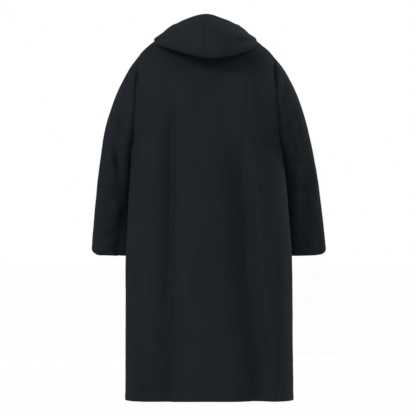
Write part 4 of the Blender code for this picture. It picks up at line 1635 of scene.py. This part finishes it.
    def build(self, cloth: Finish, hood_cloth: Finish) -> dict[str, Piece]:
        """Args:
            cloth: the finish of the shell cloth.
            hood_cloth: the hood's finish, the same cloth painted a little lighter and bluer: painted light
                where the hood faces up into the light.

        Returns:
            The pieces by the name of the CAD node that each stands for.
        """
        self.make_panels()
        pieces = {}
        for node, panel in self.panels.items():
            pieces[node] = self.shell.build(panel)
            # The hood takes the copy of the cloth that is painted lighter: painted light.
            finish = hood_cloth if panel.group is Group.HOOD else cloth
            declare(pieces[node], finish, node=node)
        return pieces

    def sew(self, stitching: Stitching, thread: Finish) -> dict[str, list[Piece]]:
        """Sews the rows of stitches on the panels.

        Args:
            stitching: the stitches' sizes.
            thread: their finish.

        Returns:
            The rows of each panel, by the panel's CAD node.
        """
        sewn = {node: [] for node in self.panels}
        for row in STITCH_ROWS:
            piece = stitching.build(row.name, *self.panels[row.node].line_in(row.edge, row.depth))
            declare(piece, thread)
            sewn[row.node].append(piece)
        return sewn


# ---- Zip ----

FACING = 0.9
SAME = 1e-6
Test = Callable[[Vector, Vector], bool]
ALL_OVER = {"location": True, "rotation": True, "scale": True}


def start_block(name: str, low: Triple, high: Triple) -> Piece:
    """Adds a block between two corners and opens it in edit mode with nothing selected.

    Args:
        name: the piece's name.
        low: its lowest corner.
        high: its highest corner.

    Returns:
        The block, open in edit mode.
    """
    bpy.ops.object.select_all(action="DESELECT")
    size = tuple(b - a for a, b in zip(low, high))
    centre = tuple((a + b) / 2 for a, b in zip(low, high))
    bpy.ops.mesh.primitive_cube_add(size=1.0, location=centre, scale=size)
    return open_piece(name)


def open_piece(name: str) -> Piece:
    """Names the new primitive, applies its place and opens it in edit mode with nothing selected.

    Args:
        name: the piece's name.

    Returns:
        The piece.
    """
    bpy.ops.object.transform_apply(**ALL_OVER)
    piece = bpy.context.object
    piece.name = piece.data.name = name
    bpy.ops.object.mode_set(mode="EDIT")
    bpy.ops.mesh.select_mode(type="FACE")
    bpy.ops.mesh.select_all(action="DESELECT")
    return piece


def pick_faces(piece: Piece, test: Test) -> None:
    """Selects the faces of a mesh in edit mode that pass a test, and no others.

    Args:
        piece: the object in edit mode.
        test: takes a face's centre and its normal.
    """
    bpy.ops.mesh.select_mode(type="FACE")
    mesh = bmesh.from_edit_mesh(piece.data)
    mesh.normal_update()
    for face in mesh.faces:
        face.select_set(test(face.calc_center_median(), face.normal))
    mesh.select_flush_mode()
    bmesh.update_edit_mesh(piece.data)


def pick_edges(piece: Piece, test: Test) -> None:
    """Selects the edges of a mesh in edit mode that pass a test, and no others.

    Args:
        piece: the object in edit mode.
        test: takes the places of an edge's two ends.
    """
    bpy.ops.mesh.select_mode(type="EDGE")
    mesh = bmesh.from_edit_mesh(piece.data)
    chosen = [edge for edge in mesh.edges if test(edge.verts[0].co, edge.verts[1].co)]
    for edge in mesh.edges:
        edge.select_set(False)
    for edge in chosen:
        edge.select_set(True)
    bmesh.update_edit_mesh(piece.data)


def push(move: Triple) -> None:
    """Extrudes the selected faces together by a move."""
    bpy.ops.mesh.extrude_region_move(TRANSFORM_OT_translate={"value": move})


def scale_by(sizes: Triple, about: Triple | None = None) -> None:
    """Scales what is selected about its own middle, or about a place."""
    bpy.ops.transform.resize(value=sizes, **({"center_override": about} if about else {}))


def cut_across(axis: int, place: float) -> None:
    """Cuts the whole mesh in edit mode square to an axis, at a place along it."""
    bpy.ops.mesh.select_all(action="SELECT")
    way = Vector((axis == 0, axis == 1, axis == 2))
    bpy.ops.mesh.bisect(plane_co=way * place, plane_no=way)


def close_piece(piece: Piece, rounding: float = 0.0) -> None:
    """Turns the faces outwards, leaves edit mode, rounds the sharp edges and smooths the faces.

    Args:
        piece: the object in edit mode.
        rounding: how wide its rounded edges are.
    """
    bpy.ops.mesh.select_all(action="SELECT")
    bpy.ops.mesh.normals_make_consistent(inside=False)
    bpy.ops.object.mode_set(mode="OBJECT")
    if rounding:
        bevel = piece.modifiers.new("rounding", "BEVEL")
        bevel.width, bevel.segments = rounding, 2
        bevel.limit_method, bevel.angle_limit = "ANGLE", math.radians(40)
        bpy.ops.object.modifier_apply(modifier="rounding")
    bpy.ops.object.shade_smooth_by_angle(angle=math.radians(35))


def place_piece(piece: Piece, here: Matrix) -> Piece:
    """Moves a finished piece to a frame and leaves its object at the origin.

    Args:
        piece: the piece, made about the origin.
        here: the frame it goes to.

    Returns:
        The piece.
    """
    bpy.ops.object.select_all(action="DESELECT")
    bpy.context.view_layer.objects.active = piece
    piece.select_set(True)
    piece.matrix_world = here
    bpy.ops.object.transform_apply(**ALL_OVER)
    return piece


def joined(pieces: list[Piece], name: str) -> Piece:
    """Joins pieces into one with its object at the origin.

    Args:
        pieces: the pieces.
        name: the new piece's name.

    Returns:
        The new piece.
    """
    bpy.ops.object.select_all(action="DESELECT")
    for piece in pieces:
        piece.select_set(True)
    bpy.context.view_layer.objects.active = pieces[0]
    bpy.ops.object.join()
    piece = bpy.context.object
    piece.name = piece.data.name = name
    bpy.ops.object.transform_apply(**ALL_OVER)
    return piece


@dataclass(frozen=True)
class ZipSizes:
    """The zip's places and sizes, in its own frame: X to the wearer's left, Y into the cloth, Z up."""

    top_drop: float = 0.004
    bottom_z: float = -1.080
    tape_edge: float = 0.0019
    tape_columns: Row = (0.0022, 0.0026, 0.0030, 0.0034, 0.0038, 0.0046, 0.0060, 0.0090, 0.0125, 0.0160)
    tape_thick: float = 0.001
    tape_sink: float = 0.0027
    bead_lift: float = 0.00045
    bead_width: float = 0.0013
    bead_x: float = 0.0030
    tape_rows: int = 320
    gap: float = 0.0003
    tooth_thick: float = 0.0016
    tooth_pitch: float = 0.0032
    tooth_root: tuple[float, float] = (0.0015, 0.0033)
    tooth_neck: float = 0.0004
    tooth_tip: float = -0.0009
    tooth_half: float = 0.0011
    tooth_inset: float = 0.00018
    tooth_crown: float = 0.00012
    neck_half: float = 0.0005
    neck_thin: float = 0.92
    head_half: float = 0.00072
    head_full: float = 0.62
    head_end: Triple = (1, 0.75, 0.66)
    stop_length: float = 0.004
    stop_waist: tuple[float, float] = (0.35, 0.65)
    stop_inset: float = 0.0001
    stop_pinch: float = 0.00025
    stop_rounding: float = 0.0003
    box_length: float = 0.009
    box_half: float = 0.0042
    box_slot: tuple[float, float] = (0.0008, 0.0011)
    slot_depth: float = 0.0004
    box_waist: tuple[float, float] = (0.0022, 0.0070)
    waist_inset: float = 0.0006
    waist_depth: float = 0.0003
    box_top: float = 0.9
    box_rounding: float = 0.00025
    slider_length: float = 0.011
    slider_half: float = 0.0046
    slider_foot: float = 0.84
    slider_corner: float = 0.0016
    slider_lip: float = 0.0006
    plate: float = 0.0012
    plate_gap: float = 0.0009
    post_length: float = 0.003
    post_width: float = 0.003
    post_inset: float = 0.0002
    post_rounding: float = 0.0004
    chain_gap: float = 0.0009
    bail_width: float = 0.002
    bail_rise: float = 0.0032
    bail_z: float = 0.0022
    bail_thick: float = 0.0010
    bail_sink: float = 0.0002
    pull_bar: float = 0.0014
    pull_half: float = 0.0040
    pull_length: float = 0.030
    pull_corner: float = 0.0014
    pull_neck: float = 0.0085
    window_half: float = 0.0025
    window_length: float = 0.0045
    ribs: int = 7
    rib_top: float = 0.0130
    rib_pitch: float = 0.0017
    rib_inset: float = 0.0003
    rib_press: float = 0.72
    metal_rounding: float = 0.00022

    @property
    def chain_sink(self) -> float:
        """Returns how far the teeth's faces are sunk."""
        return self.tape_sink - self.gap - self.tooth_thick

    @property
    def plate_face(self) -> float:
        """Returns the Y of the front plate's face towards the tapes."""
        return self.chain_sink - self.plate_gap


@dataclass
class Zip:
    """The zip down the centre front: tapes, teeth, stops, box, slider and pull tab."""

    body: BodyForm = BodyForm()
    sizes: ZipSizes = ZipSizes()
    frame_step: float = 0.004

    def frame_at(self, z: float) -> Matrix:
        """Works out the zip's frame on the form at a height.

        Args:
            z: the height.

        Returns:
            The frame, with its Z along the zip and its Y into the cloth.
        """
        heights = np.array([z, z + self.frame_step, z - self.frame_step])
        here, above, below = self.body.swayed(self.body.point(np.full(3, 180.0), heights))
        up = Vector(above - below).normalized()
        into = up.cross(Vector((1, 0, 0)))
        made = Matrix((into.cross(up), into, up)).transposed().to_4x4()
        made.translation = Vector(here)
        return made

    @property
    def top_z(self) -> float:
        """Returns the height of the tapes' upper ends."""
        return float(self.body.neck_place(np.array(180.0))[1]) - self.sizes.top_drop

    @property
    def slider_z(self) -> float:
        """Returns the height of the slider's middle, with the zip closed."""
        s = self.sizes
        return self.top_z - s.stop_length - s.gap - s.slider_length / 2

    def tape(self, side: Side) -> Piece:
        """Weaves one tape: a thin strip with a bead along the edge that the teeth grip.

        Args:
            side: the wearer's side.

        Returns:
            The tape.
        """
        s = self.sizes
        z = np.linspace(self.top_z, s.bottom_z, s.tape_rows)
        zz, xx = np.meshgrid(z, np.array([s.tape_edge, *s.tape_columns]), indexing="ij")
        points = self.body.at_places(np.stack([self.body.turn_at(xx, zz, True), zz], -1), side.value)
        into = np.array([self.frame_at(float(h)).col[1].xyz for h in z])
        normals = np.broadcast_to(-into[:, None], points.shape).copy()
        bead = s.bead_lift * np.exp(-(((xx - s.bead_x) / s.bead_width) ** 2))
        outer = points + normals * (bead - s.tape_sink)[..., None]
        order = slice(None, None, side.value)
        strip = Panel(f"zip_tape_{side.word}_woven", Group.TAPE, points[:, order])
        strip.normals, strip.outer = normals[:, order], outer[:, order]
        return ClothShell(wall=s.tape_thick).build(strip)

    def tooth(self) -> Piece:
        """Models one moulded tooth of the left side: a root that grips the tape, a neck and a wider head.

        Returns:
            The tooth in the zip's own frame.
        """
        s = self.sizes
        low, high = s.chain_sink, s.chain_sink + s.tooth_thick + s.gap
        inner, outer = s.tooth_root
        piece = start_block("zip_tooth", (inner, low, -s.tooth_half), (outer, high, s.tooth_half))
        head = s.tooth_tip - s.tooth_neck
        pick_faces(piece, lambda c, n: n.x < -FACING)
        push((0, 0, 0))
        scale_by((1, s.neck_thin, s.neck_half / s.tooth_half))
        push((s.tooth_neck - inner, 0, 0))
        scale_by((1, 1, s.head_half / s.neck_half))
        push((head * s.head_full, 0, 0))
        push((head * (1 - s.head_full), 0, 0))
        scale_by(s.head_end)
        pick_faces(piece, lambda c, n: n.y < -FACING)
        bpy.ops.mesh.inset(thickness=s.tooth_inset, depth=s.tooth_crown)
        close_piece(piece)
        return piece

    def teeth(self, side: Side, pattern: Piece) -> Piece:
        """Copies the tooth down one side of the zip, half a pitch lower on the right.

        Args:
            side: the wearer's side.
            pattern: the tooth that is copied.

        Returns:
            That side's teeth as one mesh.
        """
        s = self.sizes
        z = self.slider_z + s.slider_length / 2 - s.post_length - s.chain_gap - s.tooth_half
        bottom = s.bottom_z + s.box_length + s.gap + s.tooth_half
        if side is Side.RIGHT:
            z -= s.tooth_pitch / 2
        copies = []
        while z > bottom:
            here = self.frame_at(z)
            copy = pattern.copy()
            copy.data = pattern.data.copy()
            copy.matrix_world = here @ Matrix.Diagonal((side.value, 1, 1, 1))
            bpy.context.scene.collection.objects.link(copy)
            copies.append(copy)
            z -= s.tooth_pitch * abs(here.col[2].z)
        piece = joined(copies, f"zip_teeth_{side.word}")
        bpy.ops.object.mode_set(mode="EDIT")
        bpy.ops.mesh.select_all(action="SELECT")
        bpy.ops.mesh.normals_make_consistent(inside=False)
        bpy.ops.object.mode_set(mode="OBJECT")
        return piece

    def top_stop(self, side: Side) -> Piece:
        """Models a top stop: a clamp bent over the tape's bead, with a pinched waist.

        Args:
            side: the wearer's side.

        Returns:
            The stop in its place.
        """
        s = self.sizes
        length = s.stop_length - s.gap
        inner, outer = sorted((s.tape_edge * side.value, s.tooth_root[1] * side.value))
        low, high = (inner, s.chain_sink, -s.stop_length), (outer, s.tape_sink - s.gap, -s.gap)
        piece = start_block(f"zip_top_clamp_{side.word}", low, high)
        upper, lower = (-s.gap - length * share for share in s.stop_waist)
        cut_across(2, upper)
        cut_across(2, lower)
        pick_faces(piece, lambda c, n: n.y < -FACING and lower < c.z < upper)
        bpy.ops.mesh.inset(thickness=s.stop_inset)
        push((0, s.stop_pinch, 0))
        close_piece(piece, s.stop_rounding)
        return place_piece(piece, self.frame_at(self.top_z))

    def bottom_box(self) -> Piece:
        """Models the box at the foot of the zip: a rounded block with two narrow slots and a waist.

        Returns:
            The box in its place.
        """
        s = self.sizes
        low = (-s.box_half, s.chain_sink - s.gap, s.gap)
        piece = start_block("zip_foot_box", low, (s.box_half, s.tape_sink - s.gap, s.box_length))
        for place in sorted(x * side.value for x in s.box_slot for side in Side):
            cut_across(0, place)
        for place in s.box_waist:
            cut_across(2, place)
        inner, outer = s.box_slot
        foot, top = s.box_waist
        pick_faces(piece, lambda c, n: n.y < -FACING and inner < abs(c.x) < outer)
        push((0, s.slot_depth, 0))
        pick_faces(piece, lambda c, n: n.y < -FACING and abs(c.x) > outer and foot < c.z < top)
        bpy.ops.mesh.inset(thickness=s.waist_inset)
        push((0, s.waist_depth, 0))
        pick_faces(piece, lambda c, n: n.z > FACING)
        scale_by((s.box_top, 1, 1))
        close_piece(piece, s.box_rounding)
        return place_piece(piece, self.frame_at(s.bottom_z))

    def slider_plate(self, name: str, near: float, far: float) -> Piece:
        """Models a plate of the slider, narrower at its foot, with lips that turn towards the tapes.

        Args:
            name: the plate's name.
            near: its face towards the tapes.
            far: its face away from them.

        Returns:
            The plate in the slider's frame.
        """
        s = self.sizes
        half, inward = s.slider_length / 2, (1 if near > far else -1)
        low, high = sorted((near, far))
        piece = start_block(name, (-s.slider_half, low, -half), (s.slider_half, high, half))
        pick_faces(piece, lambda c, n: n.z < -FACING)
        scale_by((s.slider_foot, 1, 1))
        pick_edges(piece, lambda a, b: abs(a.x - b.x) < SAME and abs(a.z - b.z) < SAME)
        bpy.ops.mesh.bevel(offset=s.slider_corner, segments=4, affect="EDGES")

        def at_lip(centre: Vector, normal: Vector) -> bool:
            """Returns whether a face of the rim lies at the middle of one of the plate's sides."""
            beside = abs(centre.x) > s.slider_half * 0.8 and abs(centre.z) < half * 0.6
            return beside and normal.y * inward > FACING

        pick_faces(piece, lambda c, n: n.y * inward > FACING)
        bpy.ops.mesh.inset(thickness=s.slider_lip)
        pick_faces(piece, at_lip)
        push((0, inward * s.slider_lip, 0))
        close_piece(piece, s.metal_rounding)
        return piece

    def bail(self) -> Piece:
        """Spins the bridge that the pull tab hangs from, standing on the front plate.

        Returns:
            The bridge in the slider's frame.
        """
        s = self.sizes
        foot = (0, s.plate_face - s.plate, 0)
        middle = (0, foot[1], s.bail_z + s.bail_thick / 2)
        bpy.ops.object.select_all(action="DESELECT")
        bpy.ops.mesh.primitive_circle_add(vertices=14, radius=s.bail_thick / 2, location=middle,
                                          rotation=(-math.pi / 2, 0, 0))
        piece = open_piece("slider_bail")
        bpy.ops.mesh.select_all(action="SELECT")
        scale_by((s.bail_width / s.bail_thick, 1, 1), middle)
        bpy.ops.mesh.spin(steps=18, angle=-math.pi, center=foot, axis=(1, 0, 0))
        bpy.ops.mesh.select_all(action="SELECT")
        bpy.ops.mesh.remove_doubles(threshold=SAME)
        pick_edges(piece, lambda a, b: max(abs(a.y - foot[1]), abs(b.y - foot[1])) < 10 * SAME)
        bpy.ops.mesh.edge_face_add()
        bpy.ops.mesh.select_all(action="SELECT")
        scale_by((1, (s.bail_rise + s.bail_thick) / (s.bail_z + s.bail_thick), 1), foot)
        bpy.ops.transform.translate(value=(0, s.bail_sink, 0))
        close_piece(piece)
        return piece

    def slider(self) -> Piece:
        """Models the slider: two lipped plates, the post between them and the bail.

        Returns:
            The slider in its place.
        """
        s = self.sizes
        front_in, back_in = s.plate_face, s.tape_sink + s.tape_thick + s.plate_gap
        top = s.slider_length / 2
        front = self.slider_plate("slider_front", front_in, front_in - s.plate)
        back = self.slider_plate("slider_back", back_in, back_in + s.plate)
        low = (-s.post_width / 2, front_in - s.plate / 3, top - s.post_length)
        post = start_block("slider_post", low, (s.post_width / 2, back_in + s.plate / 3, top - s.post_inset))
        close_piece(post, s.post_rounding)
        whole = joined([front, back, post, self.bail()], "zip_slider_body")
        return place_piece(whole, self.frame_at(self.slider_z))

    def pull_tab(self) -> Piece:
        """Models the pull tab: a flat tongue with a window round the bail and a ribbed grip.

        Returns:
            The tab hanging from the bail.
        """
        s = self.sizes
        bar = s.pull_bar / 2
        foot = -bar - s.window_length
        piece = start_block("zip_pull_tongue", (-s.pull_half, -bar, -s.pull_length), (s.pull_half, bar, bar))
        for place in (-s.window_half, s.window_half):
            cut_across(0, place)
        for place in (-bar, foot, -s.pull_neck):
            cut_across(2, place)

        def in_window(centre: Vector, normal: Vector) -> bool:
            """Returns whether a face lies over the window."""
            return abs(normal.y) > FACING and abs(centre.x) < s.window_half and foot < centre.z < -bar

        def at_corner(a: Vector, b: Vector) -> bool:
            """Returns whether an edge runs through the tab at one of its lower corners."""
            outside = abs(a.x) > (s.window_half + s.pull_half) / 2
            return outside and abs(a.x - b.x) < SAME and max(a.z, b.z) < -s.pull_length + bar

        pick_faces(piece, in_window)
        bpy.ops.mesh.delete(type="ONLY_FACE")
        bpy.ops.mesh.select_mode(type="EDGE")
        bpy.ops.mesh.select_non_manifold(
            extend=False, use_wire=False, use_multi_face=False, use_non_contiguous=False)
        bpy.ops.mesh.bridge_edge_loops()
        pick_edges(piece, at_corner)
        bpy.ops.mesh.bevel(offset=s.pull_corner, segments=5, affect="EDGES")
        for k in range(s.ribs + 1):
            cut_across(2, -s.rib_top - s.rib_pitch * k)
        for k in range(s.ribs):
            top = -s.rib_top - s.rib_pitch * k
            pick_faces(piece, lambda c, n, top=top: abs(n.y) > FACING and top - s.rib_pitch < c.z < top)
            bpy.ops.mesh.inset(thickness=s.rib_inset)
            if k % 2 == 0:
                scale_by((1, s.rib_press, 1), (0, 0, 0))
        close_piece(piece, s.metal_rounding)
        hinge = Matrix.Translation((0, s.plate_face - s.plate - s.bail_rise / 2, 0))
        return place_piece(piece, self.frame_at(self.slider_z) @ hinge)

    def build(self, tape: Finish, moulded: Finish, metal: Finish) -> dict[str, Piece]:
        """Args:
            tape: the tapes' finish.
            moulded: the finish of the teeth, the stops and the box.
            metal: the finish of the slider and the pull tab.

        Returns:
            The pieces by the name of the CAD node that each stands for.
        """
        made = {}
        pattern = self.tooth()
        for side in Side:
            made[f"zip_tape_{side.word}"] = (self.tape(side), tape, "zip_tape")
            made[f"zip_chain_{side.word}"] = (self.teeth(side, pattern), moulded, "zip_teeth")
            made[f"zip_top_stop_{side.word}"] = (self.top_stop(side), moulded, "zip_teeth")
        bpy.data.objects.remove(pattern)
        made["zip_bottom_box"] = (self.bottom_box(), moulded, "zip_teeth")
        made["zip_slider"] = (self.slider(), metal, "zip_metal")
        made["zip_pull"] = (self.pull_tab(), metal, "zip_metal")
        for node, (piece, finish, slot) in made.items():
            declare(piece, finish, body=PULL if node == "zip_pull" else ROBE, node=node)
        return {node: piece for node, (piece, _, _) in made.items()}


# ---- Studio ----

WHITE = (1, 1, 1, 1)


@dataclass(frozen=True)
class Light:
    """A round soft light that the camera doesn't see."""

    name: str
    place: Triple
    size: float
    power: float

    def build(self, scene: bpy.types.Scene, aim: Triple) -> None:
        """Makes the light.

        Args:
            scene: the scene that it lights.
            aim: the place that it points at.
        """
        lamp = bpy.data.lights.new(self.name, "AREA")
        lamp.shape, lamp.size, lamp.energy = "DISK", self.size, self.power
        holder = bpy.data.objects.new(self.name, lamp)
        holder.location = self.place
        holder.visible_camera = False
        holder.rotation_euler = (Vector(aim) - Vector(self.place)).to_track_quat("-Z", "Y").to_euler()
        scene.collection.objects.link(holder)


@dataclass
class Studio:
    """A white floor, a white sky, soft lights and the camera level with the middle of the back."""

    camera_place: Triple = (-0.007625, 6.5, -0.511)
    seen_height: float = 1.2688
    sensor: float = 36.0
    floor_z: float = -1.50
    floor_radius: float = 30.0
    floor_tone: float = 0.86
    floor_white: float = 0.98
    sky: float = 0.18
    lights: tuple[Light, ...] = (
        Light("key", (2.35, 2.35, 1.75), 1.3, 68.0),
        Light("fill", (-2.7, 2.4, 1.6), 2.0, 29.0),
        Light("low", (-0.5, 7.6, -1.1), 3.2, 68.0),
        Light("top", (0.3, 1.6, 3.4), 2.6, 20.0),
        Light("front_key", (-2.8, -1.8, 1.5), 1.4, 78.0),
        Light("front_fill", (2.7, -2.4, 1.3), 2.0, 25.0),
        Light("front_low", (0.5, -7.6, -1.1), 3.2, 66.0),
    )
    aim: Triple = (0.0, 0.0, -0.5)

    def build(self) -> None:
        """Makes the camera, the sky, the lights and the floor."""
        scene = bpy.context.scene
        scene.view_settings.view_transform = "Standard"
        self.make_camera(scene)
        self.make_sky(scene)
        for light in self.lights:
            light.build(scene, self.aim)
        self.make_floor()

    def make_camera(self, scene: bpy.types.Scene) -> None:
        """Makes the camera, which looks straight at the back.

        Args:
            scene: the scene that it belongs to.
        """
        data = bpy.data.cameras.new("camera")
        data.sensor_width = self.sensor
        data.lens = self.sensor * self.camera_place[1] / self.seen_height
        camera = bpy.data.objects.new("camera", data)
        camera.location = self.camera_place
        camera.rotation_euler = (math.pi / 2, 0, math.pi)
        scene.collection.objects.link(camera)
        scene.camera = camera

    def seen_white(self, w: Wiring, lit: Socket, kind: str, share: float) -> Socket:
        """Mixes plain white into what the camera sees, without lighting the cloth more.

        Args:
            w: the wiring of the sky or the floor.
            lit: its own shader.
            kind: the type of the white shader's node.
            share: how much of what is seen is that white.

        Returns:
            The mixed shader.
        """
        white = w.node(kind, {"Color": WHITE, "Strength": 1.0}).outputs[0]
        seen = w.maths("MULTIPLY", w.node("ShaderNodeLightPath").outputs["Is Camera Ray"], share)
        return w.node("ShaderNodeMixShader", {0: seen, 1: lit, 2: white}).outputs[0]

    def make_sky(self, scene: bpy.types.Scene) -> None:
        """Makes a white sky that lights the cloth softly and is seen as plain white.

        Args:
            scene: the scene that it belongs to.
        """
        world = bpy.data.worlds.new("sky")
        world.use_nodes = True
        scene.world = world
        w, nodes = Wiring(world.node_tree), world.node_tree.nodes
        lit = nodes["Background"]
        w.fill(lit, {"Color": WHITE, "Strength": self.sky})
        w.fill(nodes["World Output"], {0: self.seen_white(w, lit.outputs[0], "ShaderNodeBackground", 1.0)})

    def make_floor(self) -> None:
        """Makes the pale floor, far below the hem."""
        bpy.ops.object.select_all(action="DESELECT")
        bpy.ops.mesh.primitive_circle_add(
            vertices=96, radius=self.floor_radius, fill_type="NGON", location=(0, 0, self.floor_z))
        floor = bpy.context.object
        floor.name = "floor"
        material = bpy.data.materials.new("pale_floor")
        material.use_nodes = True
        w, nodes = Wiring(material.node_tree), material.node_tree.nodes
        shader = nodes["Principled BSDF"]
        w.fill(shader, {"Base Color": (*(self.floor_tone,) * 3, 1), "Roughness": 0.9})
        seen = self.seen_white(w, shader.outputs[0], "ShaderNodeEmission", self.floor_white)
        w.fill(nodes["Material Output"], {0: seen})
        floor.data.materials.append(material)


def main() -> None:
    """Builds the robe and the studio."""
    logging.basicConfig(level=logging.INFO, format="%(message)s")
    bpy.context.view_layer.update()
    Studio().build()
    robe = Robe()
    pieces = robe.build(SHELL_CLOTH, HOOD_PAINTED_LIGHT_CLOTH)
    sewn = robe.sew(Stitching(), SEWING_THREAD)
    zip_pieces = Zip().build(ZIP_TAPE_CLOTH, MOULDED_TEETH, DARK_METAL)


if __name__ == "__main__":
    main()
